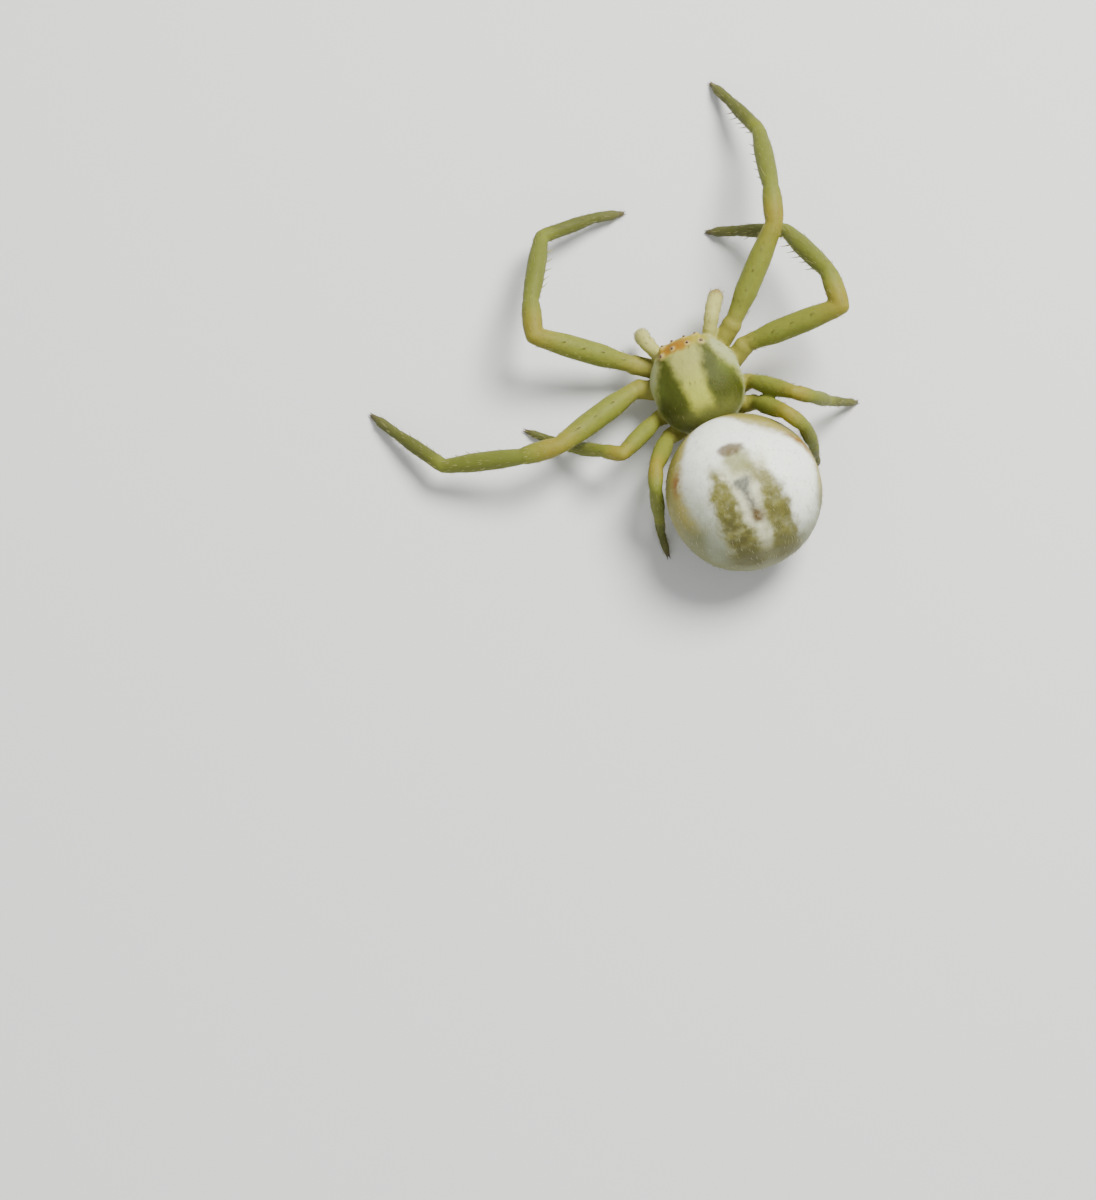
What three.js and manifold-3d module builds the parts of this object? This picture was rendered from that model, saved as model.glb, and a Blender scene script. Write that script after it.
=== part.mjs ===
// A flower crab spider, life size, standing on eight feet.
// Millimetres. The animal faces -Y, its left side is +X, up is +Z and the floor is z = 0.

import * as THREE from "three";
import { mergeVertices } from "three/addons/utils/BufferGeometryUtils.js";
import Module from "manifold-3d";

const wasm = await Module();
wasm.setup();

// Driving dimensions

const GAP = 0.03; // clearance between two touching parts
const EYE_GAP = 0.01;
const SIDES = 10; // flats around a leg
const CAP_RINGS = 2; // rings that round off each end of a leg segment
const CAP_OPENING = 0.35; // how far short of the widest ring the last cap ring stays, in rings
const FULLNESS = [[0.3, 0.97], [0.58, 0.99]]; // where a segment is fullest: place, share of its belly
const FACETS = { carapace: [36, 20], sternum: [24, 12], abdomen: [40, 24] }; // around, along

// The front of the body leans towards the animal's left.
const PROSOMA = { height: 1.0, roll: 12 };
const CARAPACE = { centre: -0.03, half: 0.98, width: 1.84, top: 0.76, under: 0.2, cut: -0.12 };
const STERNUM = { centre: -0.02, half: 0.54, width: 0.86, depth: 0.44, top: -0.15, lid: 0.1 };
const ABDOMEN = { centre: [-0.03, 2.44, 1.52], half: 1.57, width: 3.1, top: 1.15, under: 1.1 };
const PEDICEL = { radius: 0.15, ends: 0.1, front: 0.7, back: 1.22, height: 0.93 };

// Roundness of each outline: 2 is an ellipse and more is squarer. Pairs are before and behind
// the middle.
const CARAPACE_CURVE = { plan: [3.2, 2.3], crown: [3.4, 2.1], belly: 2.4, section: 2.2, narrowing: 0.2 };
const STERNUM_CURVE = { plan: [2.6, 1.7], depth: 2.6, across: 2.4 };
const ABDOMEN_CURVE = { plan: 2.05, crown: 2.25, belly: 2.15, section: 2.1, flare: 0.03, rise: 0.04 };
const ABDOMEN_DROOP = { ahead: 0.1, ahead_from: 0.2, behind: 0.24, behind_from: 0.1 };

const CHELICERA = { top: [0.18, -0.8, -0.06], end: [0.14, -0.92, -0.52], radii: [0.14, 0.165, 0.085] };
const FANG = { root: [-0.02, 0.01, -0.105], reach: [-0.09, 0.07, -0.1], radius: 0.035, tip: 0.008 };
const MAXILLA = { base: [0.27, -0.5, -0.36], end: [0.14, -0.76, -0.42], radii: [0.085, 0.095, 0.06] };
const LABIUM = { base: [0, -0.56, -0.42], end: [0, -0.72, -0.42], radii: [0.07, 0.07, 0.045] };

// Eyes: distance from the midline, distance ahead of the middle, radius
const EYE_FLATS = 10;
const EYE_DOME = [25, 55]; // rings of the eye's dome, in degrees above its edge
const EYES = {
  anterior_median: { across: 0.13, ahead: 0.93, radius: 0.036 },
  anterior_lateral: { across: 0.34, ahead: 0.89, radius: 0.052 },
  posterior_median: { across: 0.16, ahead: 0.76, radius: 0.034 },
  posterior_lateral: { across: 0.42, ahead: 0.7, radius: 0.045 },
};

// Palps: where they start, segment lengths, radii at the joints and between them, then the pose
const PALP = {
  base: [0.47, -0.8, -0.16],
  lengths: [0.44, 0.26, 0.26, 0.4],
  joints: [0.115, 0.14, 0.15, 0.155, 0.095],
  bellies: [0.145, 0.155, 0.165, 0.16],
};
const PALP_POSE = {
  left: { yaw: [25, 20, 15, 10], pitch: [52, 0, -55, -75] },
  right: { yaw: [38, 30, 25, 22], pitch: [40, 5, -30, -48] },
};

// Legs: coxa root and hip on the front body, segment lengths, radii at the seven joints and
// between them. Coxa with trochanter, femur, patella, tibia, metatarsus, tarsus.
const FRONT_LEG = {
  lengths: [2.15, 0.76, 1.66, 1.28, 0.72],
  joints: [0.155, 0.185, 0.19, 0.178, 0.152, 0.115, 0.06],
  bellies: [0.2, 0.235, 0.205, 0.195, 0.145, 0.108],
};
const REAR_LEG = {
  lengths: [1.25, 0.46, 0.84, 0.66, 0.48],
  joints: [0.14, 0.15, 0.148, 0.135, 0.112, 0.09, 0.052],
  bellies: [0.178, 0.18, 0.155, 0.145, 0.105, 0.083],
};
const PAIRS = {
  1: { ...FRONT_LEG, root: [0.5, -0.6, -0.32], hip: [1.12, -0.99, -0.06], armed: true },
  2: { ...FRONT_LEG, root: [0.58, -0.19, -0.32], hip: [1.2, -0.47, -0.06], armed: true },
  3: { ...REAR_LEG, root: [0.58, 0.2, -0.32], hip: [1.02, 0.27, -0.08], armed: false },
  4: { ...REAR_LEG, root: [0.48, 0.57, -0.32], hip: [0.96, 0.71, -0.1], armed: false },
};

// The pose, in degrees. Yaw is 0 straight ahead, 90 out to the leg's own side and 180 behind.
// Pitch is the slope of a segment. The slope of the last one follows from the floor.
const POSE = {
  leg_1_left: { yaw: [60, -15, -28, -83, -90], pitch: [23, -6, -21, -21] },
  leg_2_left: { yaw: [111, 85, 72, 31, 28], pitch: [16, -6, -19, -17] },
  leg_3_left: { yaw: [121, 52, 49, 43, 45], pitch: [25, -25, -44, -26] },
  leg_4_left: { yaw: [143, 159, 173, 177, 178], pitch: [45, 3, -63, -76] },
  leg_1_right: { yaw: [44, 15, 12, -13, -16], pitch: [21, 1, -28, -35] },
  leg_2_right: { yaw: [95, 1, -15, -56, -60], pitch: [26, 3, -33, -39] },
  leg_3_right: { yaw: [140, 115, 88, 88, 91], pitch: [41, -28, -65, -58] },
  leg_4_right: { yaw: [152, 142, 149, 144, 141], pitch: [54, -20, -69, -85] },
};
const FOOT_HEIGHT = 0.045; // centre of a standing foot's round end above the floor

// Spines on the long front legs: pairs under the tibia and metatarsus, single ones on top of
// the femur. Stations are shares of the segment's length.
const SPINE = { length: 0.2, radius: 0.024, tip: 0.006, lean: 48, spread: 34, sunk: 0.55, sides: 4 };
const SPINE_DROP = 0.6; // how far the rows of spines turn from the inner side to the floor
const SPINE_STATIONS = {
  femur: [0.3, 0.5, 0.72],
  tibia: [0.36, 0.6, 0.84],
  metatarsus: [0.14, 0.36, 0.58, 0.8],
};

const CLAW = { length: 0.1, radius: 0.02, tip: 0.005, spread: 0.02, splay: 0.01 };
const CLAW_DROP = { share: 0.35, lowest: 0.012 };

// Spinnerets: start and end of each cone under the abdomen's rear, and its radii. Those off the
// midline are paired.
const SPINNERET_FIELD = { from: [0, 3.4, 0.86], to: [0, 3.62, 0.66], radii: [0.24, 0.2] };
const SPINNERETS = [
  { from: [0.09, 3.58, 0.62], to: [0.08, 3.73, 0.44], radii: [0.085, 0.042] },
  { from: [0.1, 3.66, 0.72], to: [0.13, 3.84, 0.58], radii: [0.075, 0.034] },
];
const ANAL_TUBERCLE = { from: [0, 3.7, 0.82], to: [0, 3.86, 0.76], radii: [0.085, 0.045] };

const COLOURS = {
  carapace: 0x8b9a3c,
  sternum: 0xb9bd7c,
  abdomen: 0xe4e6d2,
  leg: 0xa3a95c,
  joint: 0xcdc98a,
  foot: 0x9a965f,
  eye: 0x2a1a10,
  fang: 0x5a3018,
  palp: 0xc9cb95,
};

// Solids from three.js shapes

const UP = new THREE.Vector3(0, 0, 1);
const model = new THREE.Group();
const prosoma = new THREE.Group();
prosoma.position.z = PROSOMA.height;
prosoma.rotation.y = THREE.MathUtils.degToRad(PROSOMA.roll);
prosoma.updateMatrixWorld(true);
model.add(prosoma);

function vector(values) {
  return new THREE.Vector3(...values);
}

// A closed shape's shared corners are merged, and faces that shrink to a line at a pole go.
function solidOf(geometry) {
  geometry.deleteAttribute("normal");
  geometry.deleteAttribute("uv");
  const merged = mergeVertices(geometry, 1e-6);
  const faces = [];
  for (let i = 0; i < merged.index.count; i += 3) {
    const [a, b, c] = [0, 1, 2].map((k) => merged.index.getX(i + k));
    if (a !== b && b !== c && c !== a) faces.push(a, b, c);
  }
  const vertProperties = new Float32Array(merged.attributes.position.array);
  const mesh = new wasm.Mesh({ numProp: 3, vertProperties, triVerts: new Uint32Array(faces) });
  return new wasm.Manifold(mesh);
}

function geometryOf(solid) {
  const largest = solid.decompose().reduce((a, b) => (a.volume() > b.volume() ? a : b));
  const mesh = largest.getMesh();
  const geometry = new THREE.BufferGeometry();
  geometry.setAttribute("position", new THREE.BufferAttribute(mesh.vertProperties, mesh.numProp));
  geometry.setIndex(new THREE.BufferAttribute(mesh.triVerts, 1));
  return geometry;
}

function addPart(parent, name, solid, colour, roughness = 0.4) {
  const material = new THREE.MeshStandardMaterial({ color: colour, roughness, metalness: 0 });
  const part = new THREE.Mesh(geometryOf(solid), material);
  part.geometry.computeVertexNormals();
  part.name = name;
  parent.add(part);
}

function joined(solids) {
  return solids.reduce((a, b) => a.add(b));
}

// Places a solid that was turned about Y so that its foot is at one point and its axis runs
// to the next, with its own Z side up.
function along(solid, from, to) {
  const axis = to.clone().sub(from).normalize();
  const side = axis.clone().cross(UP);
  if (side.length() < 1e-3) side.set(1, 0, 0);
  side.normalize();
  const frame = new THREE.Matrix4().makeBasis(side, axis, side.clone().cross(axis));
  return solid.transform(frame.setPosition(from).elements);
}

// A round-ended limb segment: radii at its first joint, its belly and its last joint.
function segment(from, to, first, belly, last, grow = 0) {
  const length = from.distanceTo(to);
  const start = first + grow;
  const end = last + grow;
  const capTurn = (ring) => (ring / (CAP_RINGS + CAP_OPENING)) * (Math.PI / 2);
  const profile = [];
  for (let ring = 0; ring <= CAP_RINGS; ring += 1) {
    const turn = capTurn(ring);
    profile.push(new THREE.Vector2(Math.sin(turn) * start, -Math.cos(turn) * start));
  }
  for (const [place, share] of FULLNESS) {
    profile.push(new THREE.Vector2((belly + grow) * share, length * place));
  }
  for (let ring = CAP_RINGS; ring >= 0; ring -= 1) {
    const turn = capTurn(ring);
    profile.push(new THREE.Vector2(Math.sin(turn) * end, length + Math.cos(turn) * end));
  }
  profile[0].x = 0;
  profile[profile.length - 1].x = 0;
  return along(solidOf(new THREE.LatheGeometry(profile, SIDES)), from, to);
}

// A cone with a blunt tip, for claws and other small points.
function spike(from, to, radius, tip, sides = 5) {
  const length = from.distanceTo(to);
  const cone = new THREE.CylinderGeometry(tip, radius, length, sides);
  cone.translate(0, length / 2, 0);
  return along(solidOf(cone), from, to);
}

// An egg-like body: a sphere with poles at the front and back. The plan and the height each
// follow a rounded-square curve, whose power may differ before and behind the middle.
function egg(shape, [columns, rows], grow = 0) {
  const ball = new THREE.SphereGeometry(1, columns, rows);
  const spots = ball.attributes.position;
  for (let i = 0; i < spots.count; i += 1) {
    const [x, y, z] = [spots.getX(i), spots.getY(i), spots.getZ(i)];
    const ring = Math.hypot(x, z) || 1;
    const place = shape({ t: y, cos: x / ring, sin: z / ring }, grow);
    spots.setXYZ(i, ...place);
  }
  return solidOf(ball);
}

function roundness(t, power) {
  return Math.pow(Math.max(0, 1 - Math.pow(Math.abs(t), power)), 1 / power);
}

function squared(value, power) {
  return Math.sign(value) * Math.pow(Math.abs(value), 2 / power);
}

// The front body

// Picks the power of a curve that differs before and behind the middle.
function sided(t, [ahead, behind]) {
  return t < 0 ? ahead : behind;
}

function carapaceShape({ t, cos, sin }, grow) {
  const curve = CARAPACE_CURVE;
  const plan = roundness(t, sided(t, curve.plan)) * (CARAPACE.width / 2 + grow);
  const narrow = 1 - curve.narrowing * THREE.MathUtils.smoothstep(-t, 0.25, 1);
  const crown = roundness(t, sided(t, curve.crown)) * (CARAPACE.top + grow);
  const belly = roundness(t, curve.belly) * (CARAPACE.under + grow);
  return [
    plan * narrow * squared(cos, curve.section),
    CARAPACE.centre + t * (CARAPACE.half + grow),
    sin > 0 ? crown * squared(sin, curve.section) : belly * sin,
  ];
}

// A point on the carapace's upper side.
function onCarapace(across, ahead) {
  const t = (-ahead - CARAPACE.centre) / CARAPACE.half;
  const edge = carapaceShape({ t, cos: 1, sin: 0 }, 0)[0];
  const crown = carapaceShape({ t, cos: 0, sin: 1 }, 0)[2];
  return vector([across, -ahead, crown * roundness(across / edge, CARAPACE_CURVE.section)]);
}

function sternumShape({ t, cos, sin }, grow) {
  const plan = roundness(t, sided(t, STERNUM_CURVE.plan)) * (STERNUM.width / 2 + grow);
  const depth = roundness(t, STERNUM_CURVE.depth) * (STERNUM.depth + grow);
  return [
    plan * squared(cos, STERNUM_CURVE.across),
    STERNUM.centre + t * (STERNUM.half + grow),
    sin < 0 ? depth * squared(sin, STERNUM_CURVE.depth) : STERNUM.lid * sin,
  ];
}

function abdomenShape({ t, cos, sin }, grow) {
  const [x, y, z] = ABDOMEN.centre;
  const { plan, crown, belly, section, flare, rise } = ABDOMEN_CURVE;
  const across = roundness(t, plan) * (ABDOMEN.width / 2 + grow) * (1 + flare * t);
  const above = roundness(t, crown) * (ABDOMEN.top + grow) * (1 + rise * t);
  const below = roundness(t, belly) * (ABDOMEN.under + grow);
  const { ahead, ahead_from, behind, behind_from } = ABDOMEN_DROOP;
  const rear = behind * THREE.MathUtils.smoothstep(t, behind_from, 1);
  const front = ahead * THREE.MathUtils.smoothstep(-t, ahead_from, 1);
  return [
    x + across * squared(cos, section),
    y + t * (ABDOMEN.half + grow),
    z - rear - front + (sin > 0 ? above : below) * squared(sin, section),
  ];
}

function carapaceSolid(grow = 0) {
  return egg(carapaceShape, FACETS.carapace, grow).trimByPlane([0, 0, 1], CARAPACE.cut - grow);
}

function sternumSolid(grow = 0) {
  return egg(sternumShape, FACETS.sternum, grow).trimByPlane([0, 0, -1], -(STERNUM.top + grow));
}

function abdomenSolid(grow = 0) {
  return egg(abdomenShape, FACETS.abdomen, grow);
}

function pedicelSolid(grow = 0) {
  const from = vector([0, PEDICEL.front - grow, PEDICEL.height]);
  const to = vector([0, PEDICEL.back + grow, PEDICEL.height]);
  return segment(from, to, PEDICEL.ends, PEDICEL.radius, PEDICEL.ends, grow);
}

const intoProsoma = prosoma.matrixWorld.clone().invert();

function inProsoma(solid) {
  return solid.transform(intoProsoma.elements);
}

function mirrored(values, side) {
  return vector([values[0] * side, values[1], values[2]]);
}

function direction(side, yawDegrees, pitchDegrees) {
  const yaw = THREE.MathUtils.degToRad(yawDegrees);
  const pitch = THREE.MathUtils.degToRad(pitchDegrees);
  const level = Math.cos(pitch);
  return vector([side * Math.sin(yaw) * level, -Math.cos(yaw) * level, Math.sin(pitch)]);
}

const SIDE_SIGNS = { left: 1, right: -1 };

function cheliceraSolid(sign, grow = 0) {
  const [top, end] = [mirrored(CHELICERA.top, sign), mirrored(CHELICERA.end, sign)];
  return segment(top, end, ...CHELICERA.radii, grow);
}

function maxillaSolid(sign, grow = 0) {
  const [base, end] = [mirrored(MAXILLA.base, sign), mirrored(MAXILLA.end, sign)];
  return segment(base, end, ...MAXILLA.radii, grow);
}

function makeJaw(side, sign) {
  const jaw = cheliceraSolid(sign).trimByPlane([0, 0, -1], -(CARAPACE.cut - GAP));
  addPart(prosoma, `chelicera_${side}`, jaw.trimByPlane([sign, 0, 0], GAP / 2), COLOURS.palp);
  const root = mirrored(CHELICERA.end, sign).add(mirrored(FANG.root, sign));
  const tip = root.clone().add(mirrored(FANG.reach, sign));
  addPart(prosoma, `fang_${side}`, spike(root, tip, FANG.radius, FANG.tip, 6), COLOURS.fang, 0.25);
  const maxilla = maxillaSolid(sign).subtract(sternumSolid(GAP)).subtract(cheliceraSolid(sign, GAP));
  addPart(prosoma, `maxilla_${side}`, maxilla, COLOURS.sternum);
}

function makeFrontBody() {
  let labium = segment(vector(LABIUM.base), vector(LABIUM.end), ...LABIUM.radii);
  labium = labium.subtract(sternumSolid(GAP));
  for (const [side, sign] of Object.entries(SIDE_SIGNS)) {
    makeJaw(side, sign);
    labium = labium.subtract(maxillaSolid(sign, GAP)).subtract(cheliceraSolid(sign, GAP));
  }
  addPart(prosoma, "labium", labium, COLOURS.sternum);
  addPart(prosoma, "sternum", sternumSolid(), COLOURS.sternum);
  const carapace = carapaceSolid().subtract(inProsoma(pedicelSolid(GAP)));
  addPart(prosoma, "carapace", carapace, COLOURS.carapace, 0.3);
}

function makeEyes() {
  for (const [row, { across, ahead, radius }] of Object.entries(EYES)) {
    for (const [side, sign] of Object.entries(SIDE_SIGNS)) {
      const spot = onCarapace(across, ahead);
      const slopeAcross = onCarapace(across + 0.01, ahead).sub(spot);
      const slopeAhead = onCarapace(across, ahead + 0.01).sub(spot);
      const outward = slopeAhead.cross(slopeAcross).normalize();
      if (outward.z < 0) outward.negate();
      const profile = [new THREE.Vector2(0, 0), new THREE.Vector2(radius, 0)];
      for (const height of EYE_DOME) {
        const angle = THREE.MathUtils.degToRad(height);
        profile.push(new THREE.Vector2(Math.cos(angle) * radius, Math.sin(angle) * radius));
      }
      profile.push(new THREE.Vector2(0, radius));
      const base = spot.addScaledVector(outward, EYE_GAP);
      base.x *= sign;
      outward.x *= sign;
      const dome = solidOf(new THREE.LatheGeometry(profile, EYE_FLATS));
      const eye = along(dome, base, base.clone().add(outward));
      addPart(prosoma, `eye_${row}_${side}`, eye, COLOURS.eye, 0.08);
    }
  }
}

// Limbs

// The plane midway through a bend, so that both sides of a joint meet face to face.
function cutAt(solid, joint, before, after, keep) {
  const across = before.clone().add(after).normalize();
  const offset = across.dot(joint);
  if (keep === "after") return solid.trimByPlane(across.toArray(), offset + GAP / 2);
  return solid.trimByPlane(across.negate().toArray(), -(offset - GAP / 2));
}

// The slope, in degrees, at which a segment comes down by a height.
function slopeDown(height, length) {
  return -THREE.MathUtils.radToDeg(Math.asin(height / length));
}

// The joints of a limb, one after the other.
function chain(start, side, yaw, pitch, lengths, floor = null) {
  const points = [start];
  lengths.forEach((length, i) => {
    const last = points[i];
    const slope = i < pitch.length ? pitch[i] : slopeDown(last.z - floor, length);
    points.push(last.clone().addScaledVector(direction(side, yaw[i], slope), length));
  });
  return points;
}

function makePalps() {
  for (const [side, sign] of Object.entries(SIDE_SIGNS)) {
    const { yaw, pitch } = PALP_POSE[side];
    const points = chain(mirrored(PALP.base, sign), sign, yaw, pitch, PALP.lengths);
    const pieces = PALP.bellies.map((belly, i) =>
      segment(points[i], points[i + 1], PALP.joints[i], belly, PALP.joints[i + 1]));
    const palp = joined(pieces).subtract(carapaceSolid(GAP)).subtract(cheliceraSolid(sign, GAP));
    addPart(prosoma, `palp_${side}`, palp, COLOURS.palp);
  }
}

function makeClaws(from, tip) {
  const ahead = tip.clone().sub(from).normalize();
  const side = ahead.clone().cross(UP).normalize();
  return [-1, 1].map((sign) => {
    const root = tip.clone().addScaledVector(side, sign * CLAW.spread);
    const end = root.clone().addScaledVector(ahead, CLAW.length);
    end.addScaledVector(side, sign * CLAW.splay);
    end.z = Math.max(tip.z - CLAW_DROP.share * CLAW.length, CLAW_DROP.lowest);
    return spike(root, end, CLAW.radius, CLAW.tip);
  });
}

// Spines that grow from one side of a segment and lean towards its far end.
function spines(from, to, facing, belly, stations, spread) {
  const axis = to.clone().sub(from).normalize();
  const length = from.distanceTo(to);
  const outward = facing.clone().addScaledVector(axis, -facing.dot(axis)).normalize();
  const lean = THREE.MathUtils.degToRad(SPINE.lean);
  return stations.flatMap((station) => spread.map((degrees) => {
    const out = outward.clone().applyAxisAngle(axis, THREE.MathUtils.degToRad(degrees));
    const foot = from.clone().addScaledVector(axis, station * length);
    foot.addScaledVector(out, belly * SPINE.sunk);
    const way = out.clone().multiplyScalar(Math.cos(lean)).addScaledVector(axis, Math.sin(lean));
    const reach = SPINE.length + belly * (1 - SPINE.sunk);
    return spike(foot, foot.clone().addScaledVector(way, reach), SPINE.radius, SPINE.tip, SPINE.sides);
  }));
}

function makeLeg(name, obstacles) {
  const [, number, side] = name.split("_");
  const sign = SIDE_SIGNS[side];
  const pair = PAIRS[number];
  const root = mirrored(pair.root, sign).applyMatrix4(prosoma.matrixWorld);
  const hip = mirrored(pair.hip, sign).applyMatrix4(prosoma.matrixWorld);
  const { yaw, pitch } = POSE[name];
  const points = [root, ...chain(hip, sign, yaw, pitch, pair.lengths, FOOT_HEIGHT)];
  const ways = points.slice(1).map((point, i) => point.clone().sub(points[i]).normalize());
  const pieces = pair.bellies.map((belly, i) =>
    segment(points[i], points[i + 1], pair.joints[i], belly, pair.joints[i + 1]));
  const bend = (solid, joint, keep) => cutAt(solid, points[joint], ways[joint - 1], ways[joint], keep);

  if (pair.armed) {
    const inner = ways[3].clone().sub(ways[1]).normalize().addScaledVector(UP, -SPINE_DROP);
    const row = [-SPINE.spread, SPINE.spread];
    const arm = (piece, facing, stations, spread) => {
      const [from, to] = [points[piece], points[piece + 1]];
      const needles = spines(from, to, facing, pair.bellies[piece], stations, spread);
      pieces[piece] = joined([pieces[piece], ...needles]);
    };
    arm(1, UP, SPINE_STATIONS.femur, [0]);
    arm(3, inner, SPINE_STATIONS.tibia, row);
    arm(4, inner, SPINE_STATIONS.metatarsus, row);
  }

  let coxa = bend(pieces[0], 1, "before");
  for (const obstacle of obstacles) coxa = coxa.subtract(obstacle);
  addPart(model, `${name}_coxa`, coxa, COLOURS.joint);
  const femur = bend(bend(pieces[1], 1, "after"), 2, "before");
  addPart(model, `${name}_femur`, femur, COLOURS.leg);
  const shin = joined([bend(pieces[2], 2, "after"), bend(pieces[3], 4, "before")]);
  addPart(model, `${name}_tibia`, shin, COLOURS.leg);
  const claws = makeClaws(points[5], points[6]);
  const foot = joined([bend(pieces[4], 4, "after"), pieces[5], ...claws]).trimByPlane([0, 0, 1], 0);
  addPart(model, `${name}_foot`, foot, COLOURS.foot);
  return segment(root, hip, pair.joints[0], pair.bellies[0], pair.joints[1], GAP);
}

function makeLegs() {
  const intoWorld = prosoma.matrixWorld.elements;
  const trunk = [carapaceSolid(GAP).transform(intoWorld), sternumSolid(GAP).transform(intoWorld)];
  for (const side of Object.keys(SIDE_SIGNS)) {
    const taken = [...trunk];
    for (const number of Object.keys(PAIRS)) {
      taken.push(makeLeg(`leg_${number}_${side}`, taken));
    }
  }
}

// The hind body

function spinneretSolids() {
  const cones = [];
  const add = ({ from, to, radii }, sign) => {
    const [start, end] = [mirrored(from, sign), mirrored(to, sign)];
    const [wide, narrow] = radii;
    cones.push(segment(start, end, wide, (wide + narrow) / 2, narrow));
  };
  for (const spinneret of SPINNERETS) {
    add(spinneret, 1);
    add(spinneret, -1);
  }
  add(ANAL_TUBERCLE, 1);
  add(SPINNERET_FIELD, 1);
  return joined(cones).translate([ABDOMEN.centre[0], 0, 0]);
}

function makeHindBody() {
  addPart(model, "pedicel", pedicelSolid(), COLOURS.joint);
  const abdomen = abdomenSolid().subtract(pedicelSolid(GAP));
  addPart(model, "abdomen", abdomen, COLOURS.abdomen, 0.45);
  const spinnerets = spinneretSolids().subtract(abdomenSolid(GAP));
  addPart(model, "spinnerets", spinnerets, COLOURS.palp);
}

makeFrontBody();
makeEyes();
makePalps();
makeLegs();
makeHindBody();

// The origin is the middle of the footprint, on the floor.
const box = new THREE.Box3().setFromObject(model);
const middle = box.getCenter(new THREE.Vector3());
model.position.set(-middle.x, -middle.y, 0);

export default model;
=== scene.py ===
# %% [markdown]
# # A flower crab spider, life size
#
# The animal is five millimetres long, so everything here is worked out in millimetres and made
# smaller by a thousand at the very end. The sizes then read as plain numbers, and the tolerances of
# Blender's operators stay small beside them. The solids of the frame are faceted. They fix the pose
# and the size, and this script grows a skin, eyes, claws, spines and hairs in the same places.

# %% Load the frame
from math import asin, cos, degrees, pi, radians, sin, sqrt

import bmesh
import bpy
import numpy as np
from mathutils import Matrix, Vector


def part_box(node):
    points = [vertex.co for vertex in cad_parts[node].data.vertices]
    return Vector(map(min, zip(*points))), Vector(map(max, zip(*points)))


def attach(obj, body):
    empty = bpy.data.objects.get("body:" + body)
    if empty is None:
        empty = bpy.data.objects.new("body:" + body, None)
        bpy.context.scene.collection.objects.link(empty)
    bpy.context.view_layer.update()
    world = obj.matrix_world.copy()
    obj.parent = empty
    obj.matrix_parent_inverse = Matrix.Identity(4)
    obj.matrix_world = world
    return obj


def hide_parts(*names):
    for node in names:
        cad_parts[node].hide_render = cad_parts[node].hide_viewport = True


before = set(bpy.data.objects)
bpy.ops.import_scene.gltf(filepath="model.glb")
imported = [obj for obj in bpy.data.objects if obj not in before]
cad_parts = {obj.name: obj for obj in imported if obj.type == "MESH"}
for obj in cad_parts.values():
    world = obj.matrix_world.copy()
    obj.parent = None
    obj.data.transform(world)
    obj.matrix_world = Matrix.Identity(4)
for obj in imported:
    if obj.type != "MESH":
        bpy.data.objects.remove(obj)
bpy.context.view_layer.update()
MM = 0.001
draw = np.random.default_rng(17)
UP = Vector((0, 0, 1))

PEDICEL_MIDDLE = Vector((0.0, 0.96, 0.93))  # the waist's middle, from the middle of the front body
low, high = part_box("pedicel")
SHIFT = (low + high) / 2 / MM - PEDICEL_MIDDLE
print("the middle of the front body stands at", [round(v, 3) for v in SHIFT], "mm")

# %% [markdown]
# ## The named sizes
#
# A spider is two bodies and eight legs. The head and chest are one piece, which leans twelve
# degrees to the animal's left as it walks. These are the same sizes that the solids were made
# from, so the skin lands on them. The animal faces -Y, its left side is +X, and the floor is zero.

# %% Sizes of the two bodies
PROSOMA = {"height": 1.0, "roll": 12}
CARAPACE = {"centre": -0.03, "half": 0.98, "width": 1.84, "top": 0.76, "under": 0.2, "cut": -0.12}
STERNUM = {"centre": -0.02, "half": 0.54, "width": 0.86, "depth": 0.44}
ABDOMEN = {"centre": Vector((-0.03, 2.44, 1.52)), "half": 1.57, "width": 3.1, "top": 1.15, "under": 1.1}
PEDICEL = {"radius": 0.15, "ends": 0.1, "front": 0.6, "back": 1.3, "height": 0.93}
CHELICERA = {"base": (0.18, -0.8, -0.06), "end": (0.14, -0.92, -0.52), "radii": (0.14, 0.165, 0.085)}
MAXILLA = {"base": (0.27, -0.5, -0.36), "end": (0.14, -0.76, -0.42), "radii": (0.085, 0.095, 0.06)}
LABIUM = {"base": (0, -0.56, -0.42), "end": (0, -0.72, -0.42), "radii": (0.07, 0.07, 0.045)}
FANG = {"root": (-0.02, 0.01, -0.105), "reach": (-0.09, 0.07, -0.1), "radius": 0.035, "tip": 0.006,
        "bend": (0.012, -0.015, -0.012)}
EYES = {
    "anterior_median": {"across": 0.13, "ahead": 0.93, "radius": 0.036},
    "anterior_lateral": {"across": 0.34, "ahead": 0.89, "radius": 0.052},
    "posterior_median": {"across": 0.16, "ahead": 0.76, "radius": 0.034},
    "posterior_lateral": {"across": 0.42, "ahead": 0.7, "radius": 0.045},
}
SPINNERET_FIELD = {"from": (0, 3.4, 0.86), "to": (0, 3.62, 0.66), "radii": (0.24, 0.2)}
SPINNERETS = (
    {"from": (0.09, 3.58, 0.62), "to": (0.08, 3.73, 0.44), "radii": (0.085, 0.042)},
    {"from": (0.1, 3.66, 0.72), "to": (0.13, 3.84, 0.58), "radii": (0.075, 0.034)},
)
ANAL_TUBERCLE = {"from": (0, 3.7, 0.82), "to": (0, 3.86, 0.76), "radii": (0.085, 0.045)}
body_front, body_rear = CARAPACE["centre"] - CARAPACE["half"], ABDOMEN["centre"].y + ABDOMEN["half"]
print("body, without the legs:", round(body_rear - body_front, 2), "mm long")

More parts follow.
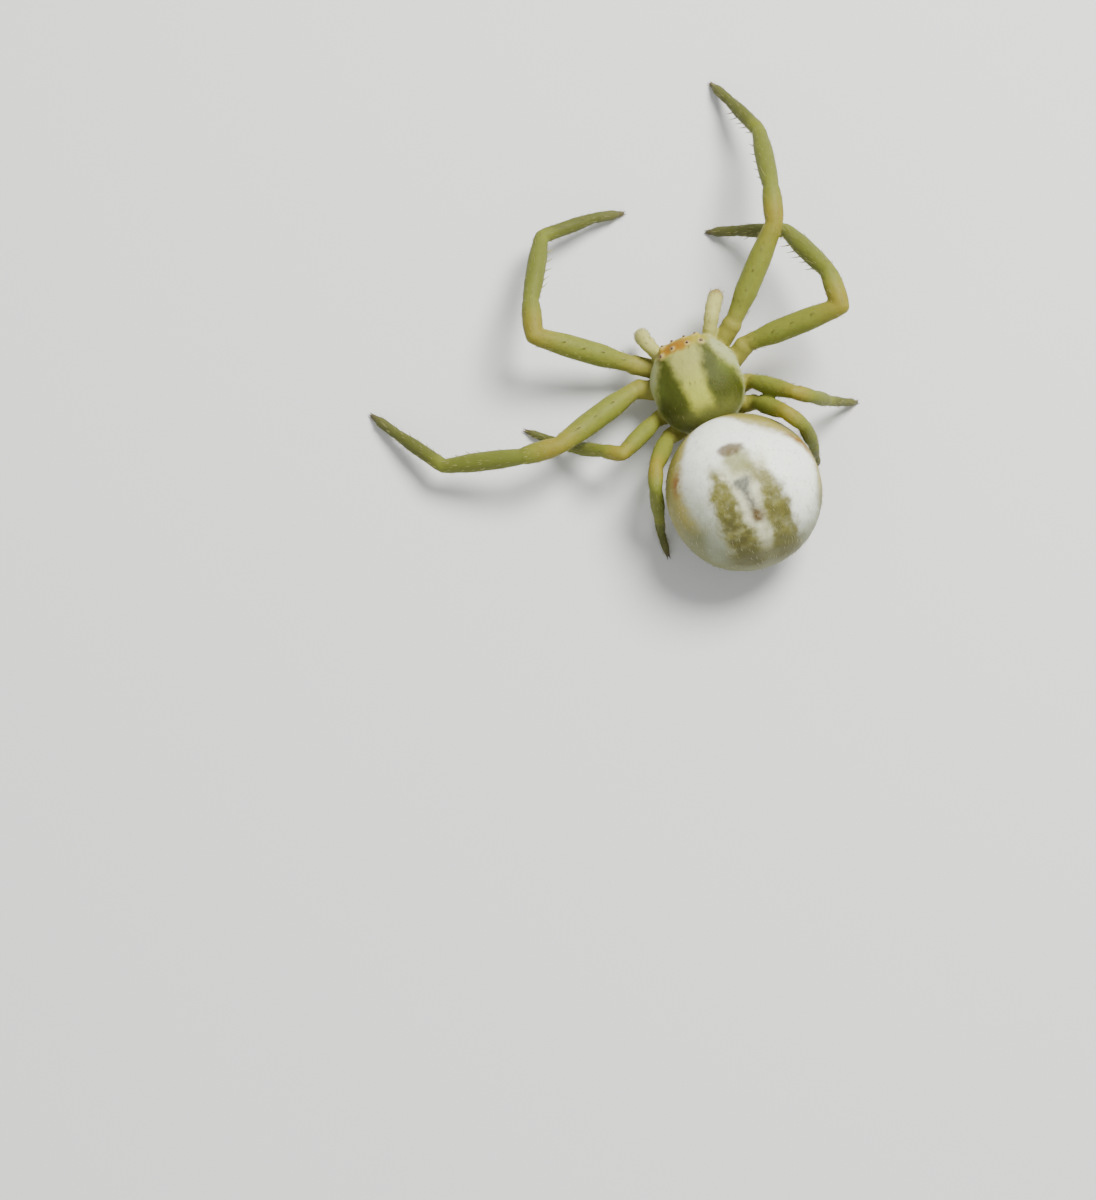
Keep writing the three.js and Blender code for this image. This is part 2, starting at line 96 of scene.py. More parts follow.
# %% [markdown]
# ## The pose of the limbs
#
# Each leg is a chain: coxa, femur, patella, tibia, metatarsus and tarsus. The two front pairs are
# long and strong, the two rear pairs short. Yaw is 0 straight ahead and 90 out to the leg's own
# side, pitch is the slope, and the last slope is the one that brings the foot to the floor.

# %% Sizes and pose of the limbs
FRONT_LEG = {
    "lengths": (2.15, 0.76, 1.66, 1.28, 0.72),
    "joints": (0.155, 0.185, 0.19, 0.178, 0.152, 0.115, 0.06),
    "bellies": (0.2, 0.235, 0.205, 0.195, 0.145, 0.108),
}
REAR_LEG = {
    "lengths": (1.25, 0.46, 0.84, 0.66, 0.48),
    "joints": (0.14, 0.15, 0.148, 0.135, 0.112, 0.09, 0.052),
    "bellies": (0.178, 0.18, 0.155, 0.145, 0.105, 0.083),
}
PAIRS = {
    1: {**FRONT_LEG, "root": (0.5, -0.6, -0.32), "hip": (1.12, -0.99, -0.06), "armed": True},
    2: {**FRONT_LEG, "root": (0.58, -0.19, -0.32), "hip": (1.2, -0.47, -0.06), "armed": True},
    3: {**REAR_LEG, "root": (0.58, 0.2, -0.32), "hip": (1.02, 0.27, -0.08), "armed": False},
    4: {**REAR_LEG, "root": (0.48, 0.57, -0.32), "hip": (0.96, 0.71, -0.1), "armed": False},
}
POSE = {
    (1, "left"): {"yaw": (60, -15, -28, -83, -90), "pitch": (23, -6, -21, -21)},
    (2, "left"): {"yaw": (111, 85, 72, 31, 28), "pitch": (16, -6, -19, -17)},
    (3, "left"): {"yaw": (121, 52, 49, 43, 45), "pitch": (25, -25, -44, -26)},
    (4, "left"): {"yaw": (143, 159, 173, 177, 178), "pitch": (45, 3, -63, -76)},
    (1, "right"): {"yaw": (44, 15, 12, -13, -16), "pitch": (21, 1, -28, -35)},
    (2, "right"): {"yaw": (95, 1, -15, -56, -60), "pitch": (26, 3, -33, -39)},
    (3, "right"): {"yaw": (140, 115, 88, 88, 91), "pitch": (41, -28, -65, -58)},
    (4, "right"): {"yaw": (152, 142, 149, 144, 141), "pitch": (54, -20, -69, -85)},
}
PALP = {
    "base": (0.47, -0.8, -0.16),
    "lengths": (0.44, 0.26, 0.26, 0.4),
    "joints": (0.115, 0.14, 0.15, 0.155, 0.095),
    "bellies": (0.145, 0.155, 0.165, 0.16),
}
PALP_POSE = {
    "left": {"yaw": (25, 20, 15, 10), "pitch": (52, 0, -55, -75)},
    "right": {"yaw": (38, 30, 25, 22), "pitch": (40, 5, -30, -48)},
}
FOOT_HEIGHT = 0.045
SIDES = {"left": 1, "right": -1}
TO_WORLD = Matrix.Translation((0, 0, PROSOMA["height"])) @ Matrix.Rotation(radians(PROSOMA["roll"]), 4, "Y")


# %% Chains of joints
def mirrored(values, sign):
    return Vector((values[0] * sign, values[1], values[2]))


def direction(sign, yaw, pitch):
    level = cos(radians(pitch))
    return Vector((sign * sin(radians(yaw)) * level, -cos(radians(yaw)) * level, sin(radians(pitch))))


def chain(start, sign, yaw, pitch, lengths):
    points = [start]
    for i, length in enumerate(lengths):
        down = asin(min(1, max(-1, (points[i].z - FOOT_HEIGHT) / length)))
        slope = pitch[i] if i < len(pitch) else -degrees(down)
        points.append(points[i] + direction(sign, yaw[i], slope) * length)
    return points


def make_limbs():
    """Joints and radii of the eight legs and two palps, all in the animal's own frame."""
    limbs = {}
    for (number, side), pose in POSE.items():
        sign, pair = SIDES[side], PAIRS[number]
        hip = TO_WORLD @ mirrored(pair["hip"], sign)
        points = chain(hip, sign, pose["yaw"], pose["pitch"], pair["lengths"])
        root = TO_WORLD @ mirrored(pair["root"], sign)
        limbs[f"leg_{number}_{side}"] = {**pair, "points": [root, *points], "kind": "leg"}
    for side, sign in SIDES.items():
        pose = PALP_POSE[side]
        points = chain(mirrored(PALP["base"], sign), sign, pose["yaw"], pose["pitch"], PALP["lengths"])
        points = [TO_WORLD @ point for point in points]
        limbs[f"palp_{side}"] = {**PALP, "points": points, "kind": "palp", "armed": False}
    return limbs


LIMBS = make_limbs()
for name, limb in LIMBS.items():
    print(name, "ends at", [round(v, 2) for v in limb["points"][-1]])

# %% [markdown]
# ## From a mesh to a piece
#
# Every piece ends the same way. It is moved to its place and made smaller in the mesh itself, and
# its object stays at the origin. Its doubles are merged and its faces turned outwards first, unless
# a remesh has done so. It then rides on the frame's body, which is how the model stays one thing.


# %% Finishing a piece
def placed(name, data):
    """A new object in the scene, for a mesh, a lamp or a camera."""
    made = bpy.data.objects.new(name, data)
    bpy.context.scene.collection.objects.link(made)
    return made


def finish(bm, name, material, replaced=(), outward=True):
    if outward:
        bmesh.ops.remove_doubles(bm, verts=bm.verts, dist=1e-5)
        bmesh.ops.recalc_face_normals(bm, faces=bm.faces)
    bmesh.ops.translate(bm, verts=bm.verts, vec=SHIFT)
    bmesh.ops.scale(bm, verts=bm.verts, vec=(MM, MM, MM))
    for face in bm.faces:
        face.smooth = True
    mesh = bpy.data.meshes.new(name)
    bm.to_mesh(mesh)
    bm.free()
    mesh.materials.append(material)
    piece = placed(name, mesh)
    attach(piece, "root")
    if replaced:
        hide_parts(*replaced)
    print(f"{name}: {sum(len(p.vertices) - 2 for p in mesh.polygons)} triangles")
    return piece


# %% [markdown]
# ## Shapes that everything is made of
#
# A limb segment is a lathe form: a profile of radii spun round an axis, as a turner would make it.
# A body is an egg: a sphere whose points are moved until its plan and its height each follow a
# rounded curve, which is quicker to shape than a box cage.


# %% Lathe forms and eggs
def add_to(target, piece):
    """Copies one bmesh into another and frees it."""
    mesh = bpy.data.meshes.new("part")
    piece.to_mesh(mesh)
    piece.free()
    target.from_mesh(mesh)
    bpy.data.meshes.remove(mesh)


def lathe(profile, sides):
    """Spins (radius, place) pairs round the Y axis into a closed form."""
    bm = bmesh.new()
    corners = [bm.verts.new((radius, place, 0)) for radius, place in profile]
    edges = [bm.edges.new(pair) for pair in zip(corners, corners[1:])]
    bmesh.ops.spin(bm, geom=corners + edges, cent=(0, 0, 0), axis=(0, 1, 0), angle=2 * pi,
                   steps=sides, use_merge=True)
    bmesh.ops.remove_doubles(bm, verts=bm.verts, dist=1e-5)
    bmesh.ops.recalc_face_normals(bm, faces=bm.faces)
    return bm


def axis_frame(start, end):
    """Stands Y along the way from start to end, with Z on the upper side."""
    along = (end - start).normalized()
    side = along.cross(UP)
    side = Vector((1, 0, 0)) if side.length < 1e-3 else side.normalized()
    turn = Matrix((side, along, side.cross(along))).transposed()
    return Matrix.Translation(start) @ turn.to_4x4()


CAP_STEPS, BODY_STEPS, SEGMENT_SIDES = 6, 26, 24
SEGMENT_CURVE = (  # place, which of the three radii, and its share of it
    (0.0, 0, 0.9), (0.1, 0, 1.0), (0.32, 1, 1.0), (0.62, 1, 1.0), (0.92, 2, 1.04), (1.0, 2, 0.9),
)


def segment(start, end, first, belly, last):
    """One limb segment, rounded at both ends and drawn in a little at its joints."""
    length = (end - start).length
    radii = (first, belly, last)
    places = [row[0] for row in SEGMENT_CURVE]
    sizes = [radii[row[1]] * row[2] for row in SEGMENT_CURVE]

    def radius(share):
        k = int(np.searchsorted(places, share, side="right")) - 1
        k = min(k, len(places) - 2)
        t = (share - places[k]) / (places[k + 1] - places[k])
        return sizes[k] + (sizes[k + 1] - sizes[k]) * t * t * (3 - 2 * t)

    turns = [pi / 2 * i / CAP_STEPS for i in range(CAP_STEPS)]
    profile = [(sin(turn) * sizes[0], -cos(turn) * sizes[0]) for turn in turns]
    profile += [(radius(i / BODY_STEPS), i / BODY_STEPS * length) for i in range(BODY_STEPS + 1)]
    profile += [(sin(turn) * sizes[-1], length + cos(turn) * sizes[-1]) for turn in reversed(turns)]
    bm = lathe(profile, SEGMENT_SIDES)
    bmesh.ops.transform(bm, matrix=axis_frame(start, end), verts=bm.verts)
    return bm


def blob(centre, radii, rings=16):
    """A ball or ellipsoid."""
    bm = bmesh.new()
    bmesh.ops.create_uvsphere(bm, u_segments=2 * rings, v_segments=rings, radius=1)
    bmesh.ops.scale(bm, verts=bm.verts, vec=radii)
    bmesh.ops.translate(bm, verts=bm.verts, vec=centre)
    return bm


def roundness(t, power):
    return max(0.0, 1 - abs(t) ** power) ** (1 / power)


def squared(value, power):
    return (1 if value > 0 else -1) * abs(value) ** (2 / power)


def smoothstep(value, low, high):
    t = np.clip((value - low) / (high - low), 0, 1)
    return t * t * (3 - 2 * t)


def egg(shape, columns, rows):
    """A sphere with its poles ahead and behind, moved point by point to a body's shape."""
    bm = bmesh.new()
    bmesh.ops.create_uvsphere(bm, u_segments=columns, v_segments=rows, radius=1)
    bmesh.ops.rotate(bm, cent=(0, 0, 0), matrix=Matrix.Rotation(radians(-90), 3, "X"), verts=bm.verts)
    for vert in bm.verts:
        x, t, z = vert.co
        ring = sqrt(x * x + z * z) or 1
        vert.co = shape(min(1, max(-1, t)), x / ring, z / ring)
    return bm


# %% [markdown]
# ## The two bodies' shapes
#
# The carapace is broad and blunt in front, where the eyes are, and falls away behind. The abdomen
# is a little higher and squarer than an egg, and both of its ends droop.


# %% Carapace, sternum and abdomen
# The power of each rounded curve, where 2 is an ellipse. A pair is for the front and the rear half.
CARAPACE_CURVE = {"plan": (3.2, 2.3), "crown": (3.4, 2.1), "belly": 2.4, "section": 2.2, "narrow": 0.2}
STERNUM_CURVE = {"plan": (2.6, 1.7), "depth": 2.6, "under": 2.6, "section": 2.4, "lid": 0.1}
ABDOMEN_CURVE = {"plan": 2.05, "above": 2.25, "below": 2.15, "section": 2.1, "widen": 0.03, "rise": 0.04}
ABDOMEN_DROOP = {"rear": 0.24, "front": 0.1}


def carapace_shape(t, c, s):
    curve, end = CARAPACE_CURVE, 0 if t < 0 else 1
    plan = roundness(t, curve["plan"][end]) * CARAPACE["width"] / 2
    narrow = 1 - curve["narrow"] * float(smoothstep(-t, 0.25, 1))
    crown = roundness(t, curve["crown"][end]) * CARAPACE["top"]
    belly = roundness(t, curve["belly"]) * CARAPACE["under"]
    z = crown * squared(s, curve["section"]) if s > 0 else belly * s
    x = plan * narrow * squared(c, curve["section"])
    return Vector((x, CARAPACE["centre"] + t * CARAPACE["half"], z))


def sternum_shape(t, c, s):
    curve, end = STERNUM_CURVE, 0 if t < 0 else 1
    plan = roundness(t, curve["plan"][end]) * STERNUM["width"] / 2
    depth = roundness(t, curve["depth"]) * STERNUM["depth"]
    z = depth * squared(s, curve["under"]) if s < 0 else curve["lid"] * s
    x = plan * squared(c, curve["section"])
    return Vector((x, STERNUM["centre"] + t * STERNUM["half"], z))


def abdomen_shape(t, c, s):
    curve, (x, y, z) = ABDOMEN_CURVE, ABDOMEN["centre"]
    across = roundness(t, curve["plan"]) * ABDOMEN["width"] / 2 * (1 + curve["widen"] * t)
    above = roundness(t, curve["above"]) * ABDOMEN["top"] * (1 + curve["rise"] * t)
    below = roundness(t, curve["below"]) * ABDOMEN["under"]
    droop = ABDOMEN_DROOP["rear"] * float(smoothstep(t, 0.1, 1))
    droop += ABDOMEN_DROOP["front"] * float(smoothstep(-t, 0.2, 1))
    lift = (above if s > 0 else below) * squared(s, curve["section"])
    return Vector((x + across * squared(c, curve["section"]), y + t * ABDOMEN["half"], z - droop + lift))


def on_carapace(across, ahead):
    """A place on top of the carapace, in the front body's own frame."""
    t = (-ahead - CARAPACE["centre"]) / CARAPACE["half"]
    edge = carapace_shape(t, 1, 0).x
    crown = carapace_shape(t, 0, 1).z
    return Vector((across, -ahead, crown * roundness(across / edge, CARAPACE_CURVE["section"])))


def carapace_normal(across, ahead):
    spot = on_carapace(across, ahead)
    out = (on_carapace(across, ahead + 0.01) - spot).cross(on_carapace(across + 0.01, ahead) - spot)
    out.normalize()
    return out if out.z > 0 else -out


print("top of the carapace:", round(on_carapace(0, 0).z, 2), "mm above the front body's middle")


# %% [markdown]
# ## The skin of the front body
#
# In life the shell is many plates, but they run into one another through soft folds of skin, and a
# leg has no gap where it bends. One way to get that is to push all the forms into each other and
# let a voxel remesh grow a single skin over them. It costs the finest edges, so small hard pieces
# such as claws and spines are left out of it, and the skin's grain comes back as bump.


# %% Everything under one skin
EYE_SWELLING = {"lateral": 2.5, "median": 2.1, "sunk": 0.55}  # in the eye's own radii
EYE_RIDGE = {"radii": (0.085, 0.16, 0.085), "sunk": 0.05}
HIP_RING = {"place": 0.9, "swell": 1.12}


def front_body_parts():
    bm = bmesh.new()
    shell = egg(carapace_shape, 96, 64)
    cut = bmesh.ops.bisect_plane(shell, geom=shell.verts[:] + shell.edges[:] + shell.faces[:], dist=1e-6,
                                 plane_co=(0, 0, CARAPACE["cut"]), plane_no=(0, 0, -1), clear_outer=True)
    rim = [e for e in cut["geom_cut"] if isinstance(e, bmesh.types.BMEdge)]
    bmesh.ops.holes_fill(shell, edges=rim)
    add_to(bm, shell)
    add_to(bm, egg(sternum_shape, 48, 32))
    for sign in SIDES.values():
        for jaw in (CHELICERA, MAXILLA):
            add_to(bm, segment(mirrored(jaw["base"], sign), mirrored(jaw["end"], sign), *jaw["radii"]))
        for row, size in EYES.items():
            around = size["radius"] * EYE_SWELLING["lateral" if "lateral" in row else "median"]
            sunk = carapace_normal(size["across"], size["ahead"]) * around * EYE_SWELLING["sunk"]
            swell = on_carapace(size["across"], size["ahead"]) - sunk
            add_to(bm, blob(mirrored(swell, sign), (around, around, around)))
        ridge = sum((on_carapace(size["across"], size["ahead"]) for row, size in EYES.items()
                     if "lateral" in row), Vector()) / 2 - UP * EYE_RIDGE["sunk"]
        add_to(bm, blob(mirrored(ridge, sign), EYE_RIDGE["radii"]))
    add_to(bm, segment(Vector(LABIUM["base"]), Vector(LABIUM["end"]), *LABIUM["radii"]))
    bmesh.ops.transform(bm, matrix=TO_WORLD, verts=bm.verts)
    start = Vector((0, PEDICEL["front"], PEDICEL["height"]))
    end = Vector((0, PEDICEL["back"], PEDICEL["height"]))
    add_to(bm, segment(start, end, PEDICEL["ends"], PEDICEL["radius"], PEDICEL["ends"]))
    return bm


def limb_parts(bm):
    for limb in LIMBS.values():
        points, joints = limb["points"], limb["joints"]
        for i, belly in enumerate(limb["bellies"]):
            add_to(bm, segment(points[i], points[i + 1], joints[i], belly, joints[i + 1]))
        if limb["kind"] == "leg":
            ring = points[0].lerp(points[1], HIP_RING["place"])
            radius = joints[1] * HIP_RING["swell"]
            add_to(bm, blob(ring, (radius, radius, radius)))


def remeshed(bm, voxel, smoothing):
    """Grows one skin over all the forms in a bmesh and returns it as a bmesh again."""
    mesh = bpy.data.meshes.new("core")
    bm.to_mesh(mesh)
    bm.free()
    core = placed("core", mesh)
    remesh = core.modifiers.new("remesh", "REMESH")
    remesh.mode = "VOXEL"
    remesh.voxel_size = voxel
    relax = core.modifiers.new("relax", "SMOOTH")
    relax.factor = 0.5
    relax.iterations = smoothing
    done = core.evaluated_get(bpy.context.evaluated_depsgraph_get()).to_mesh()
    skin = bmesh.new()
    skin.from_mesh(done)
    bpy.data.objects.remove(core)
    bpy.data.meshes.remove(mesh)
    return largest_island(skin)


def largest_island(bm):
    bm.verts.ensure_lookup_table()
    seen, best = set(), []
    for seed in bm.verts:
        if seed in seen:
            continue
        island, front = [seed], [seed]
        seen.add(seed)
        while front:
            front = [e.other_vert(v) for v in front for e in v.link_edges if e.other_vert(v) not in seen]
            front = list(dict.fromkeys(front))
            seen.update(front)
            island += front
        best = island if len(island) > len(best) else best
    keep = set(best)
    bmesh.ops.delete(bm, geom=[v for v in bm.verts if v not in keep], context="VERTS")
    return bm


FRONT_VOXEL = 0.031
front_core = front_body_parts()
limb_parts(front_core)
front_skin = remeshed(front_core, FRONT_VOXEL, 3)
print("front skin:", len(front_skin.verts), "points,", len(front_skin.faces), "faces")

# %% [markdown]
# ## Where each point of the skin lies
#
# The colours follow the anatomy: a leg is pale at its knees and brown at its tip, and the
# carapace has dark sides. So each point of the skin is told how far along a limb it is, which way
# it faces there, and its place on the body. The materials read these as attributes.


# %% Measures along the limbs
BELLY_PLACES = (0, 0.3, 0.6, 1)
LIMB_BLEND = (0.02, 0.07)  # how far from a limb's surface its colours fade out
EYE_RING_REACH = (1.3, 2.3)  # where the pale ring ends, in the eye's own radii


def beside(spots, start, end):
    """For every point, the share of the way along a line and the distance from it."""
    start, end = np.array(start), np.array(end)
    way = end - start
    share = np.clip((spots - start) @ way / (way @ way), 0, 1)
    return share, np.linalg.norm(spots - start - share[:, None] * way, axis=1)


def along_limbs(spots):
    """Nearest limb of every point: its index, station (0 at the root), and depth under its surface."""
    best = np.full(len(spots), np.inf)
    station = np.zeros(len(spots))
    owner = np.zeros(len(spots), int)
    for index, limb in enumerate(LIMBS.values()):
        points, joints = limb["points"], limb["joints"]
        for i, belly in enumerate(limb["bellies"]):
            share, away = beside(spots, points[i], points[i + 1])
            radius = np.interp(share, BELLY_PLACES, (joints[i], belly, belly, joints[i + 1]))
            nearer = away - radius < best
            best[nearer] = (away - radius)[nearer]
            station[nearer] = (i + share)[nearer]
            owner[nearer] = index
    return owner, station, best


def inner_side(limb):
    """The side to which a leg bends, where its spines are."""
    points = limb["points"]
    back, ahead = (points[2] - points[1]).normalized(), (points[4] - points[3]).normalized()
    return (ahead - back).normalized()


def point_array(bm):
    return np.array([vert.co[:] for vert in bm.verts])


def write(bm, name, values):
    """Gives every point its own number, or its own vector, under a name."""
    layers = bm.verts.layers.float if values.ndim == 1 else bm.verts.layers.float_vector
    layer = layers.new(name)
    for vert, value in zip(bm.verts, values.tolist()):
        vert[layer] = value


def local_to_prosoma(spots):
    back = np.array(TO_WORLD.inverted())
    return spots @ back[:3, :3].T + back[:3, 3]


def mark_front_skin(bm):
    for vert in bm.verts:
        vert.co.z = max(vert.co.z, 0.0)
    bm.normal_update()
    spots = point_array(bm)
    normals = np.array([vert.normal[:] for vert in bm.verts])
    owner, station, depth = along_limbs(spots)
    print(int((depth < 0).sum()), "points lie inside a limb's plain form")
    kinds = np.array([limb["kind"] == "palp" for limb in LIMBS.values()])
    inner = np.array([inner_side(limb)[:] for limb in LIMBS.values()])
    local = local_to_prosoma(spots)
    on_limb = 1 - smoothstep(depth, *LIMB_BLEND)
    write(bm, "limb", on_limb)
    write(bm, "palp", kinds[owner] * on_limb)
    write(bm, "station", station)
    write(bm, "inner", np.sum(normals * inner[owner], axis=1))
    write(bm, "place", local)
    away = np.full(len(spots), np.inf)
    for size in EYES.values():
        centre = on_carapace(size["across"], size["ahead"])
        for sign in SIDES.values():
            gap = np.linalg.norm(local - np.array(mirrored(centre, sign)), axis=1) / size["radius"]
            away = np.minimum(away, gap)
    write(bm, "eye_ring", 1 - smoothstep(away, *EYE_RING_REACH))


mark_front_skin(front_skin)

# %% [markdown]
# ## The skin of the hind body
#
# The abdomen is a soft bag, so it takes a second, finer skin. The spinnerets under its rear are
# grown in the same way. A real abdomen has a few small pits on its back, where muscles hold the
# skin from inside, and shallow folds across its rear, so those are pressed into the finished mesh.

# %% Abdomen and spinnerets
ABDOMEN_VOXEL = 0.024
PITS = (  # across, back and radius
    (0.02, -0.5, 0.1),
    (0.42, -0.12, 0.085),
    (-0.38, -0.12, 0.085),
    (0.36, 0.52, 0.075),
    (-0.32, 0.52, 0.075),
)
PIT_DEPTH = 0.03
PIT_LEVEL = 0.3  # pits are pressed only above this height over the abdomen's middle
TEAT_BLEND = 0.06
FOLDS = {"count": 9, "depth": 0.009, "from": 0.35}


def spinneret_parts(bm):
    middle = ABDOMEN["centre"].x
    for form in (*SPINNERETS, ANAL_TUBERCLE, SPINNERET_FIELD):
        for sign in SIDES.values():
            start, end = mirrored(form["from"], sign), mirrored(form["to"], sign)
            start.x, end.x = start.x + middle, end.x + middle
            wide, narrow = form["radii"]
            add_to(bm, segment(start, end, wide, (wide + narrow) / 2, narrow))


def press_abdomen(bm):
    """Pits on the back, and shallow folds round the rear."""
    bm.normal_update()
    centre = ABDOMEN["centre"]
    for vert in bm.verts:
        place = vert.co - centre
        press = 0.0
        if place.z > PIT_LEVEL:
            for x, y, radius in PITS:
                away = sqrt((place.x - x) ** 2 + (place.y - y) ** 2) / radius
                press += PIT_DEPTH * max(0.0, 1 - away * away) ** 2
        share = place.y / ABDOMEN["half"]
        if share < 1:
            rear = float(smoothstep(share, FOLDS["from"], 0.9)) * (1 - float(smoothstep(share, 0.93, 1)))
            wave = 0.5 - 0.5 * cos(2 * pi * FOLDS["count"] * share + 2.2 * place.x)
            press += rear * FOLDS["depth"] * wave
        vert.co -= vert.normal * press


hind_core = egg(abdomen_shape, 160, 100)
spinneret_parts(hind_core)
hind_skin = remeshed(hind_core, ABDOMEN_VOXEL, 4)
press_abdomen(hind_skin)
print("hind skin:", len(hind_skin.verts), "points,", len(hind_skin.faces), "faces")


def near_spinnerets(spots):
    """1 on the spinnerets and 0 on the abdomen around them."""
    best = np.full(len(spots), np.inf)
    for form in (*SPINNERETS, ANAL_TUBERCLE):
        for sign in SIDES.values():
            share, away = beside(spots, mirrored(form["from"], sign), mirrored(form["to"], sign))
            best = np.minimum(best, away - np.interp(share, (0, 1), form["radii"]))
    return 1 - smoothstep(best, 0.0, TEAT_BLEND)


def mark_hind_skin(bm):
    spots = point_array(bm)
    write(bm, "place", spots - np.array(ABDOMEN["centre"]))
    write(bm, "teat", near_spinnerets(spots - np.array((ABDOMEN["centre"].x, 0, 0))))


mark_hind_skin(hind_skin)

# %% [markdown]
# ## Shader maths as sums
#
# A material is a tree of small steps. Written node by node it is long, so one class wraps a
# socket, and adding or multiplying two of them adds the Math node. Every other node comes from a
# single method, which sets the node up first and then plugs its sockets.


# %% One class for the node trees
class Wire:
    """A socket of a material's tree. Maths on it adds Math nodes."""

    def __init__(self, tree, socket=None):
        self.tree = tree
        self.socket = socket

    def node(self, kind, settings=None, sockets=None, output=0):
        node = self.tree.nodes.new(kind)
        for key, value in (settings or {}).items():
            if key == "stops":
                self._set_stops(node.color_ramp.elements, value)
            elif key == "ease":
                node.color_ramp.interpolation = value
            else:
                setattr(node, key, value)
        for key, value in (sockets or {}).items():
            self._plug(node.inputs[key], value)
        return Wire(self.tree, node.outputs[output])

    def _plug(self, slot, value):
        if isinstance(value, Wire):
            self.tree.links.new(value.socket, slot)
        else:
            slot.default_value = value

    @staticmethod
    def _set_stops(elements, stops):
        while len(elements) < len(stops):
            elements.new(1.0)
        for element, (place, colour) in zip(elements, stops):
            element.position = place
            element.color = colour

    def _maths(self, operation, *values):
        return self.node("ShaderNodeMath", {"operation": operation}, dict(enumerate(values)))

    def __add__(self, other):
        return self._maths("ADD", self, other)

    __radd__ = __add__

    def __sub__(self, other):
        return self._maths("SUBTRACT", self, other)

    def __rsub__(self, other):
        return self._maths("SUBTRACT", other, self)

    def __mul__(self, other):
        return self._maths("MULTIPLY", self, other)

    __rmul__ = __mul__

    def __truediv__(self, other):
        return self._maths("DIVIDE", self, other)

    def __pow__(self, other):
        return self._maths("POWER", self, other)

    def __abs__(self):
        return self._maths("ABSOLUTE", self)

    def larger(self, other):
        return self._maths("MAXIMUM", self, other)

    def smaller(self, other):
        return self._maths("MINIMUM", self, other)

    def step(self, low, high):
        """0 below low, 1 above high, smooth between. low may be the larger one."""
        if low > high:
            return 1 - self.step(high, low)
        return self.node("ShaderNodeMapRange", {"interpolation_type": "SMOOTHSTEP"},
                         {"Value": self, "From Min": low, "From Max": high})

    def bell(self, middle, width):
        """1 at the middle, falling to 0 one width away on either side."""
        return abs(self - middle).step(width, 0.0)

    def mix(self, colour, other, share):
        return self.node("ShaderNodeMix", {"data_type": "RGBA"},
                         {"Factor": share, 6: colour, 7: other}, output=2)

    def attribute(self, name, output="Fac"):
        return self.node("ShaderNodeAttribute", {"attribute_name": name}, output=output)

    def parts(self, name):
        """The three numbers of a vector attribute."""
        split = self.node("ShaderNodeSeparateXYZ", None, {0: self.attribute(name, "Vector")})
        return [Wire(self.tree, split.socket.node.outputs[i]) for i in range(3)]

    def noise(self, size, detail=3.0):
        """Noise on the piece's own coordinates, with lumps of a size in millimetres."""
        place = self.node("ShaderNodeTexCoord", output="Object")
        return self.node("ShaderNodeTexNoise", None, {
            "Vector": place, "Scale": 1 / (size * MM), "Detail": detail, "Roughness": 0.55})


def linear(red, green, blue):
    """An eight-bit screen colour as the linear one that a shader takes."""
    def channel(value):
        value = value / 255
        return value / 12.92 if value <= 0.04045 else ((value + 0.055) / 1.055) ** 2.4
    return (channel(red), channel(green), channel(blue), 1.0)


def material(name, **constants):
    """A new Principled material with its constant sockets set, and the wire to build on."""
    made = bpy.data.materials.new(name)
    made.use_nodes = True
    shader = made.node_tree.nodes["Principled BSDF"]
    for key, value in constants.items():
        shader.inputs[key.replace("_", " ")].default_value = value
    return made, Wire(made.node_tree), shader


def connect(wire, shader, socket):
    wire.tree.links.new(wire.socket, shader.inputs[socket])


def bumped(wire, height, depth, strength=1.0, under=None):
    """A bump of a depth in millimetres."""
    sockets = {"Height": height, "Distance": depth * MM, "Strength": strength}
    if under is not None:
        sockets["Normal"] = under
    return wire.node("ShaderNodeBump", None, sockets)


print("a mid screen grey is", round(linear(128, 128, 128)[0], 3), "as a linear colour")

# %% [markdown]
# ## Greens
#
# The legs and the carapace are clear green over pale flesh, so light goes a little way in. The
# material has some subsurface scattering for that, with a soft, uneven gloss. The colours were
# read off the photo and are named for where they belong.

# %% Colours
COXA = linear(132, 127, 54)
FEMUR = linear(112, 118, 42)
KNEE = linear(126, 117, 38)
KNEE_PATCH = linear(178, 170, 84)
TIBIA = linear(97, 103, 38)
METATARSUS = linear(81, 85, 34)
TARSUS = linear(86, 88, 44)
FOOT_TIP = linear(84, 74, 54)
PALP_PALE = linear(164, 162, 92)
PALP_TIP = linear(130, 108, 54)
SHIELD_MIDDLE = linear(152, 152, 82)
SHIELD_BRIGHT = linear(162, 165, 66)
SHIELD_SIDE = linear(64, 70, 10)
SHIELD_OUTER = linear(98, 110, 38)
SHIELD_REAR = linear(99, 103, 48)
SHIELD_RIM = linear(156, 162, 112)
EYE_FIELD = linear(140, 98, 12)
EYE_YELLOW = linear(152, 142, 36)
EYE_RING = linear(176, 160, 96)
UNDERSIDE = linear(146, 146, 84)

# Colours by station along a leg: 1 is its hip, 2 the femur's end, 3 the knee's, and 6 the tip.
STATION_STOPS = (
    (0.0, COXA), (1.0, COXA), (1.18, FEMUR), (1.75, FEMUR), (2.0, KNEE), (2.35, KNEE), (2.75, FEMUR),
    (3.2, TIBIA), (3.85, TIBIA), (4.05, FEMUR), (4.3, METATARSUS), (5.0, METATARSUS), (5.3, TARSUS),
    (5.75, TARSUS), (6.0, FOOT_TIP),
)
print(len(STATION_STOPS), "colour stops along a leg")


# %% Skin of the front body
EYE_PATCH = {"centre": (0.12, -0.8), "half": (0.38, 0.15)}
KNEE_STATION = 1.93
FRONT_FINISH = {"speckle": 0.16, "detail": 4.0, "contrast": 0.3, "tone": 0.86, "roughness": 0.5,
                "grain": (0.045, 0.006), "lumps": (0.2, 0.02)}


